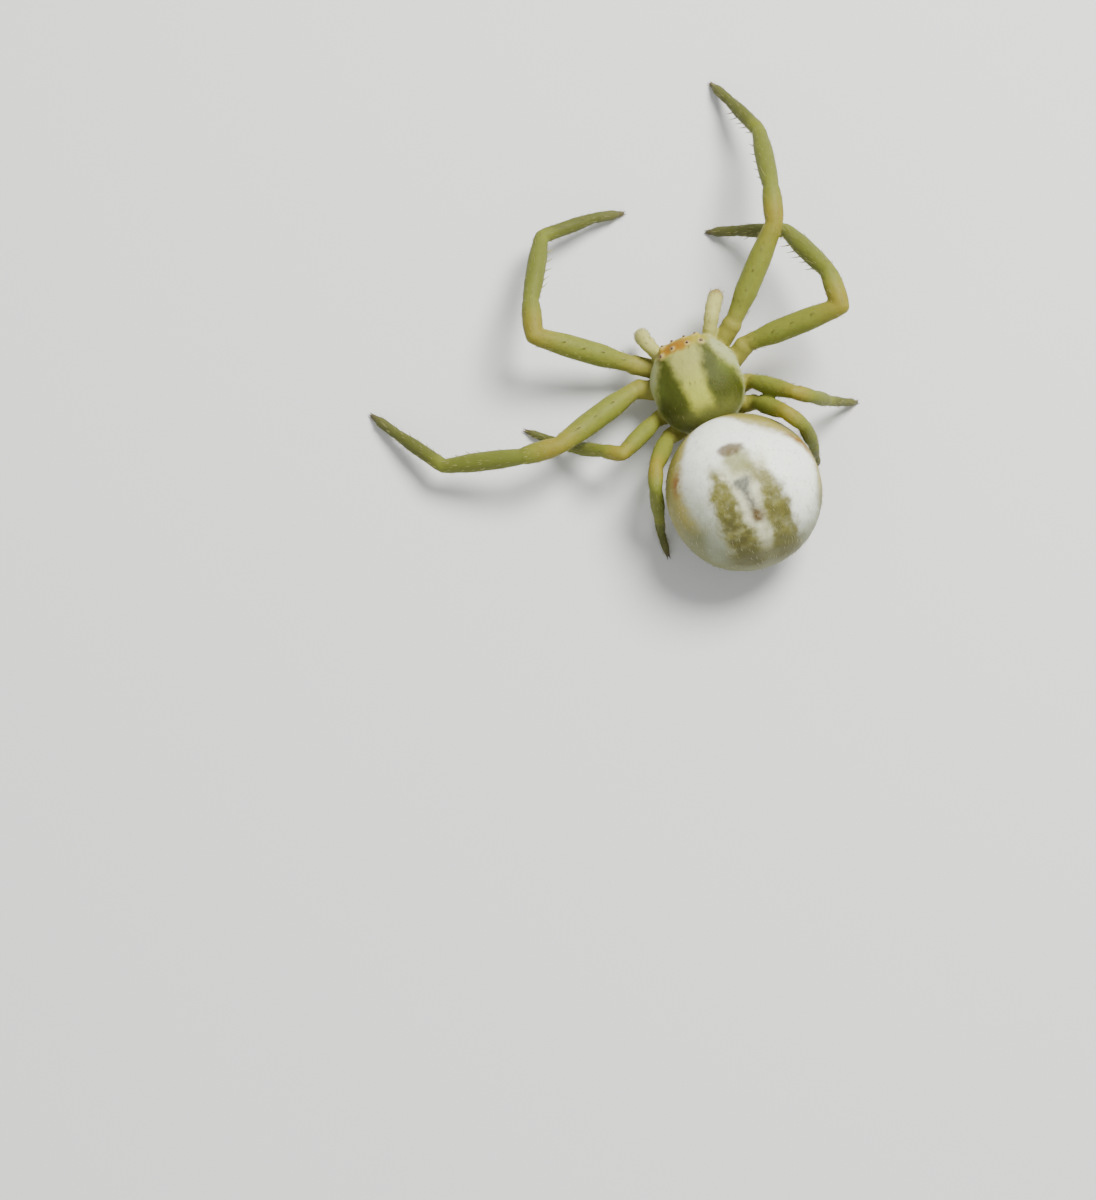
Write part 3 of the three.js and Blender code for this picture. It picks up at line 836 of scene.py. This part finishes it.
def oval(x, y, spot):
    """0 at the middle of an oval spot and 1 on its outline."""
    (middle_x, middle_y), (half_x, half_y) = spot["centre"], spot["half"]
    return ((x - middle_x) / half_x) ** 2.0 + ((y - middle_y) / half_y) ** 2.0


def limb_colour(w):
    """Colours along a leg or a palp, with a pale patch inside each knee."""
    station = w.attribute("station") + (w.noise(0.5) - 0.5) * 0.25
    last = STATION_STOPS[-1][0]
    stops = [(place / last, colour) for place, colour in STATION_STOPS]
    leg = w.node("ShaderNodeValToRGB", {"stops": stops, "ease": "B_SPLINE"}, {"Fac": station / last})
    knee = w.attribute("inner").step(0.1, 0.7) * station.bell(KNEE_STATION, 0.22)
    leg = w.mix(leg, KNEE_PATCH, knee * 0.8)
    feeler = w.mix(PALP_PALE, PALP_TIP, station.step(3.0, 3.8))
    return w.mix(leg, feeler, w.attribute("palp"))


def shield_colour(w, x, y, z):
    """The carapace: a pale middle, an olive band on either side, a pale rim and the eye patch."""
    drift = (w.noise(0.3) - 0.5) * 0.24 + (w.noise(0.09) - 0.5) * 0.1
    side = abs(x) + drift
    past_inner = side - (0.33 - y.step(-0.7, 0.3) * 0.1)
    past_outer = side - (y.step(-0.8, 0.3) * 0.4 + 0.5)
    shield = w.mix(SHIELD_MIDDLE, SHIELD_BRIGHT, y.step(-0.4, 0.35))
    shield = w.mix(shield, SHIELD_RIM, past_outer.step(-0.1, 0.12))
    bands = past_inner.step(-0.1, 0.12) * past_outer.step(0.12, -0.12) * y.step(-0.86, -0.6)
    green = w.mix(SHIELD_SIDE, SHIELD_OUTER, past_inner.step(0.2, 0.55) * y.step(0.3, -0.3))
    shield = w.mix(shield, green, bands)
    shield = w.mix(shield, SHIELD_REAR, (y + drift).step(0.42, 0.76))
    shield = w.mix(shield, SHIELD_RIM, z.step(0.2, 0.04) * 0.6)
    front = y + drift * 0.4
    shield = w.mix(shield, EYE_YELLOW, front.step(-0.58, -0.84) * side.step(0.66, 0.36))
    eyes = (oval(x, front, EYE_PATCH) + drift * 2.0).step(1.6, 0.0)
    shield = w.mix(shield, EYE_FIELD, eyes * z.step(0.1, 0.4))
    return w.mix(shield, EYE_RING, w.attribute("eye_ring") * 0.75)


def finish_skin(w, shader, colour, look):
    """Speckles, uneven gloss, a fine grain and low lumps."""
    speckle = w.noise(look["speckle"], detail=look["detail"]) * look["contrast"] + look["tone"]
    shaded = w.node("ShaderNodeHueSaturation", None, {"Value": speckle, "Color": colour})
    connect(shaded, shader, "Base Color")
    connect(w.noise(0.3) * 0.2 + look["roughness"], shader, "Roughness")
    (grain_size, grain_depth), (lump_size, lump_depth) = look["grain"], look["lumps"]
    grain = bumped(w, w.noise(grain_size, detail=2.0), grain_depth)
    connect(bumped(w, w.noise(lump_size), lump_depth, 0.6, grain), shader, "Normal")


# %% [markdown]
# ## The material of the front skin
#
# Red and green light go deeper into this skin than blue, so it glows a little where it is thin.
# One material serves the shell, the limbs and the pale underside, because the skin is one piece,
# and the attributes on its points say which of them a point belongs to.


# %% The whole skin of the front body
def front_material():
    made, w, shader = material("green_cuticle", Roughness=0.5, Subsurface_Weight=0.35,
                               Subsurface_Scale=0.12 * MM, Specular_IOR_Level=0.25, IOR=1.45)
    shader.inputs["Subsurface Radius"].default_value = (1.0, 0.85, 0.35)
    x, y, z = w.parts("place")
    trunk = w.mix(shield_colour(w, x, y, z), UNDERSIDE, z.step(-0.04, -0.14))
    trunk = w.mix(trunk, PALP_PALE, y.step(-0.85, -0.95) * z.step(0.25, 0.05))
    colour = w.mix(trunk, limb_colour(w), w.attribute("limb"))
    finish_skin(w, shader, colour, FRONT_FINISH)
    return made


cuticle = front_material()
print("the green skin takes", len(cuticle.node_tree.nodes), "nodes")

# %% [markdown]
# ## The white back and its olive bands
#
# The abdomen is white above, because of white crystals under a clear skin. Two olive bands run
# to the rear on either side of a grey line, which is the heart seen through the skin. A brown
# smudge marks its front end, and a yellow line with a red-brown stretch edges each side. Each
# marking is one function, which lays its colour over the ones before it.

# %% Skin of the hind body
WHITE = linear(236, 238, 228)
# Painted shade: the grey-green of the white back where less light falls on it.
PAINTED_SHADE_GREEN = linear(120, 125, 94)
CREAM = linear(196, 196, 158)
OLIVE = linear(104, 101, 34)
OLIVE_DARK = linear(72, 68, 18)
REAR = linear(84, 82, 34)
SMUDGE = linear(88, 70, 34)
SMUDGE_GREEN = linear(128, 130, 72)
HEART = linear(96, 97, 84)
EDGE_YELLOW = linear(150, 138, 52)
EDGE_RED = linear(120, 72, 24)
FLANK = linear(128, 122, 58)
FLANK_REAR = linear(110, 112, 72)
TEAT = linear(128, 120, 72)
SMUDGE_SPOT = {"centre": (0.07, -0.62), "half": (0.27, 0.14)}
GREEN_SPOT = {"centre": (0.04, -0.36), "half": (0.28, 0.34)}
HIND_FINISH = {"speckle": 0.07, "detail": 3.0, "contrast": 0.24, "tone": 0.88, "roughness": 0.44,
               "grain": (0.05, 0.008), "lumps": (0.3, 0.03)}


def white_with_painted_shade(w, x, y, z, coarse):
    """White in front and on the right, with painted shade: greyer towards the left, the rear and low down
    behind.
    """
    shade = (x * 0.5 + y * 0.5 + coarse * 0.4).step(-0.3, 1.1)
    back = w.mix(WHITE, PAINTED_SHADE_GREEN, shade * 0.9)
    low = (z + coarse * 0.3).step(0.75, -0.05) * y.step(-0.1, 0.6)
    return w.mix(back, PAINTED_SHADE_GREEN, low * 0.85)


def olive_bands(w, back, x, y, wobble, patchy):
    """Two ragged bands on a cream ground, darker towards the rear."""
    grow = y.step(-0.4, 0.35)
    left = x - 0.57 + y.step(0.7, 1.3) * 0.16
    right = x + 0.06 + grow * 0.34
    half = grow * 0.15 + 0.09 + y.step(0.5, 1.0) * 0.04
    between = (0.76 - abs(x - 0.08) + wobble).step(0.0, 0.3) * y.step(-0.62, -0.1)
    back = w.mix(back, CREAM, between * 0.85)
    inside = (half - abs(left)).larger(half - abs(right)) + wobble
    band = inside.step(-0.13, 0.12) * y.step(-0.42, -0.15)
    back = w.mix(back, OLIVE, band * (patchy * 0.18 + 0.8))
    deep = inside.step(-0.04, 0.16) * (left.bell(0.0, 0.35) * 0.3 + y.step(0.1, 0.9) * 0.7)
    return w.mix(back, OLIVE_DARK, deep * w.noise(0.22, detail=4.0).step(0.3, 0.6) * 0.9)


def dark_rear(w, back, x, y, z, wobble):
    behind = (y + wobble * 0.5 - z * 0.15).step(0.95, 1.4)
    # The olive-brown rear edge is the abdomen's own colour; towards the sides it turns into painted shade.
    rim = w.mix(REAR, PAINTED_SHADE_GREEN, abs(x - 0.05).step(0.6, 1.0))
    return w.mix(back, rim, behind * 0.85)


def heart_streak(w, back, x, y, fine, wobble):
    """A grey streak, broad in front and narrow behind, which ends in a brown spot."""
    width = 0.18 - y.step(0.08, 0.34) * 0.1 + y.bell(0.82, 0.2) * 0.05
    streak = (width - abs(x - 0.15 + y * 0.14) + wobble * 0.5).step(-0.1, 0.1)
    streak = streak * (y + wobble).step(-0.08, 0.12) * (y + wobble).step(1.04, 0.84)
    tone = w.mix(HEART, SMUDGE, y.step(0.5, 0.8))
    return w.mix(back, tone, streak * (fine * 1.2 + 1.0).smaller(1.0))


def front_spots(w, back, x, y, wobble):
    patch = (oval(x, y, GREEN_SPOT) + wobble * 4.0).step(1.6, 0.2)
    back = w.mix(back, SMUDGE_GREEN, patch * 0.85)
    smudge = (oval(x, y, SMUDGE_SPOT) + wobble * 4.0).step(1.6, 0.3)
    return w.mix(back, SMUDGE, smudge * 0.85)


def with_flanks(w, back, x, y, z, coarse, patchy):
    """The back over olive flanks, with a yellow line and a red-brown stretch where they meet."""
    line = z - x * 0.1 + coarse * 0.14 + y.step(0.7, 1.2) * 0.6
    line = line - y.step(0.1, -0.8) * x.step(0.2, -0.7) * 0.3
    line = line + y.step(-0.6, -1.3) * x.bell(0.35, 0.9) * 0.4
    flank = w.mix(FLANK, FLANK_REAR, y.step(0.1, 0.8))
    # Painted shade: the flanks turn grey-green low down, under the body.
    flank = w.mix(flank, PAINTED_SHADE_GREEN, z.step(-0.3, -1.0) * 0.6)
    skin = w.mix(flank, back, line.step(0.32, 0.66))
    edge = line.bell(0.44, 0.26) * y.step(0.8, 0.3)
    skin = w.mix(skin, EDGE_YELLOW, edge * (patchy * 0.4 + 0.45))
    red = line.bell(0.44, 0.2) * y.bell(-0.42, 0.42)
    return w.mix(skin, EDGE_RED, red * w.noise(0.16).step(0.3, 0.55) * 0.85)


# %% [markdown]
# ## The material of the hind skin
#
# The markings overlap, so they are laid one over another from the ground colour upwards, with the
# flanks after the back. The spinnerets take their own dull colour last.


# %% The whole skin of the hind body
def hind_material():
    made, w, shader = material("white_abdomen", Subsurface_Weight=0.25, Subsurface_Scale=0.12 * MM,
                               IOR=1.42)
    shader.inputs["Subsurface Radius"].default_value = (1.0, 0.95, 0.7)
    x, y, z = w.parts("place")
    coarse = w.noise(0.3) - 0.5
    fine = w.noise(0.11, detail=4.0) - 0.5
    wobble = coarse * 0.36 + fine * 0.13
    patchy = w.noise(0.16, detail=4.0).step(0.3, 0.62)
    # The ground is the white with painted shade, and the markings go over it.
    back = white_with_painted_shade(w, x, y, z, coarse)
    back = olive_bands(w, back, x, y, wobble, patchy)
    back = dark_rear(w, back, x, y, z, wobble)
    back = heart_streak(w, back, x, y, fine, wobble)
    back = front_spots(w, back, x, y, wobble)
    skin = with_flanks(w, back, x, y, z, coarse, patchy)
    skin = w.mix(skin, TEAT, w.attribute("teat"))
    finish_skin(w, shader, skin, HIND_FINISH)
    return made


white_skin = hind_material()
print("the white skin takes", len(white_skin.node_tree.nodes), "nodes")

# %% [markdown]
# ## Skins instead of solids
#
# Each skin stands in for many solids of the frame at once, so it names every one that it replaces.
# A solid that stayed would show through the skin as a faceted plate.

# %% Both skins in place
LEG_NODES = [f"{name}_{part}" for name, limb in LIMBS.items() if limb["kind"] == "leg"
             for part in ("coxa", "femur", "tibia", "foot")]
TRUNK_NODES = ["carapace", "sternum", "labium", "pedicel"]
TRUNK_NODES += [f"{part}_{side}" for part in ("maxilla", "chelicera", "palp") for side in SIDES]
finish(front_skin, "skin_front_body", cuticle, (*TRUNK_NODES, *LEG_NODES), outward=False)
finish(hind_skin, "skin_abdomen", white_skin, ("abdomen", "spinnerets"), outward=False)

# %% [markdown]
# ## Eyes
#
# Eight small eyes sit in two rows on low pale swellings. Each is a glossy dark lens, half sunk in
# the skin. The gloss is a clear coat, and the colour is a patchy dark brown.


# %% Eyes
LENS = {"size": 0.9, "raised": 0.62}  # in the eye's own radii


def eye_material():
    made, w, shader = material("eye_lens", Roughness=0.08, Coat_Roughness=0.03, IOR=1.5)
    shader.inputs["Coat Weight"].default_value = 1.0
    depth = w.noise(0.03)
    connect(w.mix(linear(58, 36, 18), linear(104, 66, 32), depth.step(0.35, 0.7)), shader, "Base Color")
    return made


def make_eyes():
    lens = eye_material()
    for row, size in EYES.items():
        for side, sign in SIDES.items():
            out = carapace_normal(size["across"], size["ahead"])
            centre = on_carapace(size["across"], size["ahead"]) + out * size["radius"] * LENS["raised"]
            bm = blob(mirrored(centre, sign), (size["radius"] * LENS["size"],) * 3, rings=14)
            bmesh.ops.transform(bm, matrix=TO_WORLD, verts=bm.verts)
            finish(bm, f"lens_{row}_{side}", lens, (f"eye_{row}_{side}",))


make_eyes()

# %% [markdown]
# ## Fangs, claws and spines
#
# These are bare horn: curved cones that taper to a point. A cone is spun from a tapering profile
# with a few rings, and its points are then bent to one side. The spines stand in two rows under
# the tibia and metatarsus of the long legs, with a few single ones on top of the femur.


# %% Curved cones
def horn(bm, start, end, radius, tip, bend, sides=8, rings=6):
    """A tapered, bent cone from start to end. bend is how far its middle leaves the straight line."""
    length = (end - start).length
    profile = [(0.0, -radius * 0.6)]
    for i in range(rings + 1):
        share = i / rings
        profile.append((radius + (tip - radius) * share ** 0.8, share * length))
    profile.append((0.0, length + tip))
    cone = lathe(profile, sides)
    bmesh.ops.transform(cone, matrix=axis_frame(start, end), verts=cone.verts)
    way = (end - start) / length
    for vert in cone.verts:
        share = (vert.co - start).dot(way) / length
        vert.co += bend * 4 * share * (1 - share)
    add_to(bm, cone)


def horn_material(name, base, tip_colour):
    made, w, shader = material(name, Roughness=0.3, IOR=1.5)
    shader.inputs["Coat Weight"].default_value = 0.3
    connect(w.mix(base, tip_colour, w.noise(0.08).step(0.35, 0.65)), shader, "Base Color")
    connect(bumped(w, w.noise(0.03), 0.002), shader, "Normal")
    return made


def make_fangs():
    brown = horn_material("fang_horn", linear(96, 54, 28), linear(58, 28, 14))
    for side, sign in SIDES.items():
        bm = bmesh.new()
        root = mirrored(CHELICERA["end"], sign) + mirrored(FANG["root"], sign)
        tip = root + mirrored(FANG["reach"], sign)
        bend = mirrored(FANG["bend"], sign)
        horn(bm, root, tip, FANG["radius"], FANG["tip"], bend, sides=16, rings=12)
        bmesh.ops.transform(bm, matrix=TO_WORLD, verts=bm.verts)
        finish(bm, f"poison_fang_{side}", brown, (f"fang_{side}",))


CLAW = {"length": 0.1, "radius": 0.019, "tip": 0.003, "spread": 0.02, "splay": 0.012, "bend": 0.018}
CLAW_DROP = {"share": 0.35, "lowest": 0.01}
SPINE = {"length": 0.24, "radius": 0.019, "tip": 0.003, "lean": 50, "spread": 34, "sunk": 0.8,
         "bend": 0.012}
SPINE_STATIONS = {1: (0.3, 0.5, 0.72), 3: (0.22, 0.36, 0.5, 0.64, 0.8), 4: (0.12, 0.28, 0.44, 0.6, 0.76)}
SPINE_DROP = 0.6


def make_claws():
    bm = bmesh.new()
    for limb in LIMBS.values():
        if limb["kind"] != "leg":
            continue
        before, tip = limb["points"][-2:]
        ahead = (tip - before).normalized()
        side = ahead.cross(UP).normalized()
        for sign in SIDES.values():
            root = tip + side * sign * CLAW["spread"]
            end = root + ahead * CLAW["length"] + side * sign * CLAW["splay"]
            end.z = max(tip.z - CLAW_DROP["share"] * CLAW["length"], CLAW_DROP["lowest"])
            horn(bm, root, end, CLAW["radius"], CLAW["tip"], UP * CLAW["bend"])
    finish(bm, "claws", horn_material("claw_horn", linear(70, 52, 36), linear(38, 26, 18)))


def make_spines():
    bm = bmesh.new()
    for limb in LIMBS.values():
        if not limb["armed"]:
            continue
        inner = inner_side(limb) - UP * SPINE_DROP
        for piece, stations in SPINE_STATIONS.items():
            start, end = limb["points"][piece], limb["points"][piece + 1]
            axis = (end - start).normalized()
            facing = UP if piece == 1 else inner
            outward = (facing - axis * facing.dot(axis)).normalized()
            for station in stations:
                for degree in (0,) if piece == 1 else (-SPINE["spread"], SPINE["spread"]):
                    out = outward.copy()
                    out.rotate(Matrix.Rotation(radians(degree + draw.normal(0, 3)), 3, axis))
                    lean = radians(SPINE["lean"] + draw.normal(0, 4))
                    foot = start.lerp(end, station + draw.normal(0, 0.008))
                    foot += out * limb["bellies"][piece] * SPINE["sunk"]
                    reach = SPINE["length"] * draw.uniform(0.85, 1.1) * (0.8 if piece == 1 else 1)
                    way = out * cos(lean) + axis * sin(lean)
                    bend = out * SPINE["bend"]
                    horn(bm, foot, foot + way * reach, SPINE["radius"], SPINE["tip"], bend, 7, 5)
    pale = horn_material("spine_horn", linear(152, 148, 82), linear(128, 120, 62))
    finish(bm, "leg_spines", pale)


make_fangs()
make_claws()
make_spines()

# %% [markdown]
# ## Fine hairs
#
# Up close, a crab spider wears short, sparse hairs that lie towards the tips of its legs and the
# rear of its body. Particle hair is dropped when a model is exported, so each hair is a thin
# three-sided cone. Its patch on the colour map sits at its root's place on the unrolled skin:
# along a limb and round it, or along the body and round it.

# %% Hairs on legs and bodies
HAIR = {"leg": 2600, "palp": 240, "abdomen": 900, "carapace": 70}
HAIR_PATCH = 0.0015  # half the width of a hair's patch on the map
HAIR_TAPER = ((0.0, 1.0), (0.45, 0.8), (0.8, 0.45))  # share of the length, and of the radius
HAIR_RADIUS = {"limb": 0.0042, "body": 0.0034}
HAIR_DROOP = 0.12
BODY_HAIR_DROOP = 0.15
HAIR_SUNK = 0.01
HAIR_CLEARANCE = 0.03  # no hair comes nearer to the floor
MAP_EDGE = 0.02


def on_map(share):
    return share * (1 - 2 * MAP_EDGE) + MAP_EDGE


def hair(bm, layer, root, way, length, radius, spot, droop):
    """One three-sided hair in three joints, bent towards the skin."""
    side = way.cross(Vector((0.3, 0.5, 0.8))).normalized()
    across = way.cross(side)
    corners = [side * cos(turn) + across * sin(turn) for turn in (0, 2 * pi / 3, 4 * pi / 3)]
    rings = []
    for share, size in HAIR_TAPER:
        centre = root + way * length * share + droop * length * share * share
        rings.append([bm.verts.new(centre + corner * radius * size) for corner in corners])
    tip = bm.verts.new(root + way * length + droop * length)
    faces = [bm.faces.new(reversed(rings[0]))]
    for near, far in zip(rings, rings[1:]):
        faces += [bm.faces.new((near[i], near[(i + 1) % 3], far[(i + 1) % 3], far[i])) for i in range(3)]
    faces += [bm.faces.new((rings[-1][i], rings[-1][(i + 1) % 3], tip)) for i in range(3)]
    for face in faces:
        for k, loop in enumerate(face.loops):
            corner = ((-1, -1), (1, -1), (1, 1), (-1, 1))[k]
            loop[layer].uv = (spot[0] + corner[0] * HAIR_PATCH, spot[1] + corner[1] * HAIR_PATCH)


def limb_hairs(bm, layer, limb, count, row, rows):
    points, joints, bellies = limb["points"], limb["joints"], limb["bellies"]
    lengths = [(b - a).length for a, b in zip(points, points[1:])]
    weights = np.array(lengths) * np.array(bellies)
    weights[0] *= 0.3
    picks = draw.choice(len(lengths), size=count, p=weights / weights.sum())
    for piece in picks:
        start, end = points[piece], points[piece + 1]
        axis = (end - start).normalized()
        share = draw.uniform(0.04, 0.96)
        turn = draw.uniform(0, 2 * pi)
        side = axis.cross(UP).normalized()
        out = (side * cos(turn) + side.cross(axis) * sin(turn)).normalized()
        sizes = (joints[piece], bellies[piece], bellies[piece], joints[piece + 1])
        radius = np.interp(share, BELLY_PLACES, sizes)
        root = start.lerp(end, share) + out * radius * 0.95
        lean = radians(draw.uniform(52, 74))
        way = out * cos(lean) + axis * sin(lean)
        length = draw.uniform(0.05, 0.1) * (1.15 if piece >= 3 else 1)
        end = root + (way + axis * HAIR_DROOP) * length
        if root.z < HAIR_CLEARANCE or end.z < HAIR_CLEARANCE:
            continue
        along = (piece + share) / len(lengths)
        spot = (on_map(along), (row + 0.1 + 0.8 * turn / (2 * pi)) / rows)
        hair(bm, layer, root, way, length, HAIR_RADIUS["limb"], spot, axis * HAIR_DROOP)


def hair_material(name, light, dark):
    made, w, shader = material(name, Roughness=0.5, IOR=1.5)
    connect(w.mix(light, dark, w.noise(0.4).step(0.35, 0.65)), shader, "Base Color")
    return made


LEG_HAIR = hair_material("leg_hair", linear(160, 154, 96), linear(122, 112, 66))
PALE_HAIR = hair_material("pale_hair", linear(178, 175, 140), linear(150, 146, 106))
BRISTLE = hair_material("bristle", linear(120, 110, 58), linear(92, 80, 40))


def make_limb_hairs():
    bm = bmesh.new()
    layer = bm.loops.layers.uv.new("OFBake")
    reaches = [sum((b - a).length for a, b in zip(limb["points"], limb["points"][1:]))
               for limb in LIMBS.values()]
    for row, (limb, reach) in enumerate(zip(LIMBS.values(), reaches)):
        count = HAIR["palp"] // 2 if limb["kind"] == "palp" else int(HAIR["leg"] * reach / sum(reaches))
        limb_hairs(bm, layer, limb, count, row, len(LIMBS))
    finish(bm, "limb_hairs", LEG_HAIR)


def body_hairs(name, shape, count, length, ranges, frame_matrix, look):
    """Hairs over an egg-shaped body. Its map is unrolled: round the body, and from front to rear."""
    bm = bmesh.new()
    layer = bm.loops.layers.uv.new("OFBake")
    (front, back), (first, last) = ranges
    for _ in range(count):
        t = draw.uniform(front, back)
        turn = draw.uniform(first, last)
        root = shape(t, cos(turn), sin(turn))
        behind = shape(min(t + 0.02, 0.999), cos(turn), sin(turn)) - root
        around = shape(t, cos(turn + 0.02), sin(turn + 0.02)) - root
        out = around.cross(behind).normalized()
        if out.dot(root - shape(t, cos(turn + pi), sin(turn + pi))) < 0:
            out = -out
        lean = radians(draw.uniform(38, 66))
        way = (out * cos(lean) + behind.normalized() * sin(lean)).normalized()
        size = draw.uniform(*length)
        spot = (on_map(turn / (2 * pi) % 1), on_map((t + 1) / 2))
        droop = behind.normalized() * BODY_HAIR_DROOP
        hair(bm, layer, root - out * HAIR_SUNK, way, size, HAIR_RADIUS["body"], spot, droop)
    bmesh.ops.transform(bm, matrix=frame_matrix, verts=bm.verts)
    finish(bm, name, look)


make_limb_hairs()
ALL_ROUND = ((-0.93, 0.97), (0, 2 * pi))
ON_TOP = ((-0.97, 0.6), (0.15, pi - 0.15))
body_hairs("abdomen_hairs", abdomen_shape, HAIR["abdomen"], (0.05, 0.1), ALL_ROUND,
           Matrix.Identity(4), PALE_HAIR)
body_hairs("carapace_bristles", carapace_shape, HAIR["carapace"], (0.07, 0.16), ON_TOP,
           TO_WORLD, BRISTLE)

# %% [markdown]
# ## Floor and light
#
# The model stands on a plain pale floor. The light comes from large soft lamps, the strongest one
# above and to the right of the picture, as daylight falls in the photo. A weak second one fills
# the shadows from the other side, and a third lights the rear.

# %% Floor and light
FLOOR_REACH = 400  # millimetres from the middle to the floor's edge


def stage_material():
    made, w, shader = material("pale_floor", Roughness=0.75)
    tone = w.noise(30)
    connect(w.mix((0.66, 0.66, 0.65, 1), (0.7, 0.7, 0.69, 1), tone), shader, "Base Color")
    return made


def make_floor():
    bm = bmesh.new()
    bmesh.ops.create_grid(bm, x_segments=4, y_segments=4, size=FLOOR_REACH * MM)
    mesh = bpy.data.meshes.new("floor")
    bm.to_mesh(mesh)
    bm.free()
    mesh.materials.append(stage_material())
    placed("floor", mesh)


def lamp(name, azimuth, height, distance, size, watts, colour):
    """A soft lamp aimed at the animal, placed by compass angle and height in degrees."""
    light = bpy.data.lights.new(name, "AREA")
    light.shape = "DISK"
    light.size = size * MM
    light.energy = watts
    light.color = colour
    lit = placed(name, light)
    way = direction(1, azimuth, height)
    lit.location = (UP + way * distance) * MM
    lit.rotation_euler = way.to_track_quat("Z", "Y").to_euler()
    print(f"{name} lamp: {watts} watts, {size} mm across")


make_floor()
lamp("key", azimuth=-65, height=58, distance=90, size=45, watts=0.19, colour=(1, 0.99, 0.96))
lamp("fill", azimuth=100, height=45, distance=100, size=90, watts=0.014, colour=(0.95, 0.98, 1))
lamp("back", azimuth=175, height=35, distance=100, size=70, watts=0.018, colour=(1, 1, 1))
world = bpy.data.worlds.new("studio")
world.use_nodes = True
sky = world.node_tree.nodes["Background"].inputs
sky["Color"].default_value = (0.86, 0.88, 0.9, 1)
sky["Strength"].default_value = 0.56
bpy.context.scene.world = world

# %% [markdown]
# ## A long lens from far away
#
# The photo is a close-up with little perspective, so the camera stands well back with a long lens.
# It looks down at 76 degrees and keeps the photo's framing, with the spider small in the upper half.

# %% Camera
FRAME_HEIGHT = 24.0  # millimetres of the scene that the picture's long side shows
FOCAL_LENGTH = 180.0
SENSOR = 36.0
AIM = Vector((4.285, 2.942, 0.295))  # what the middle of the picture looks at
AZIMUTH, ELEVATION = 160, 76
NEAR, FAR = 0.002, 10  # metres


def make_camera():
    data = bpy.data.cameras.new("camera")
    data.lens = FOCAL_LENGTH
    data.sensor_width = SENSOR
    data.clip_start, data.clip_end = NEAR, FAR
    camera = placed("camera", data)
    back = direction(1, AZIMUTH, ELEVATION)
    distance = FRAME_HEIGHT / SENSOR * FOCAL_LENGTH
    print("the camera stands", distance, "mm away")
    camera.location = (AIM + SHIFT + back * distance) * MM
    camera.rotation_euler = back.to_track_quat("Z", "Y").to_euler()
    bpy.context.scene.camera = camera


make_camera()
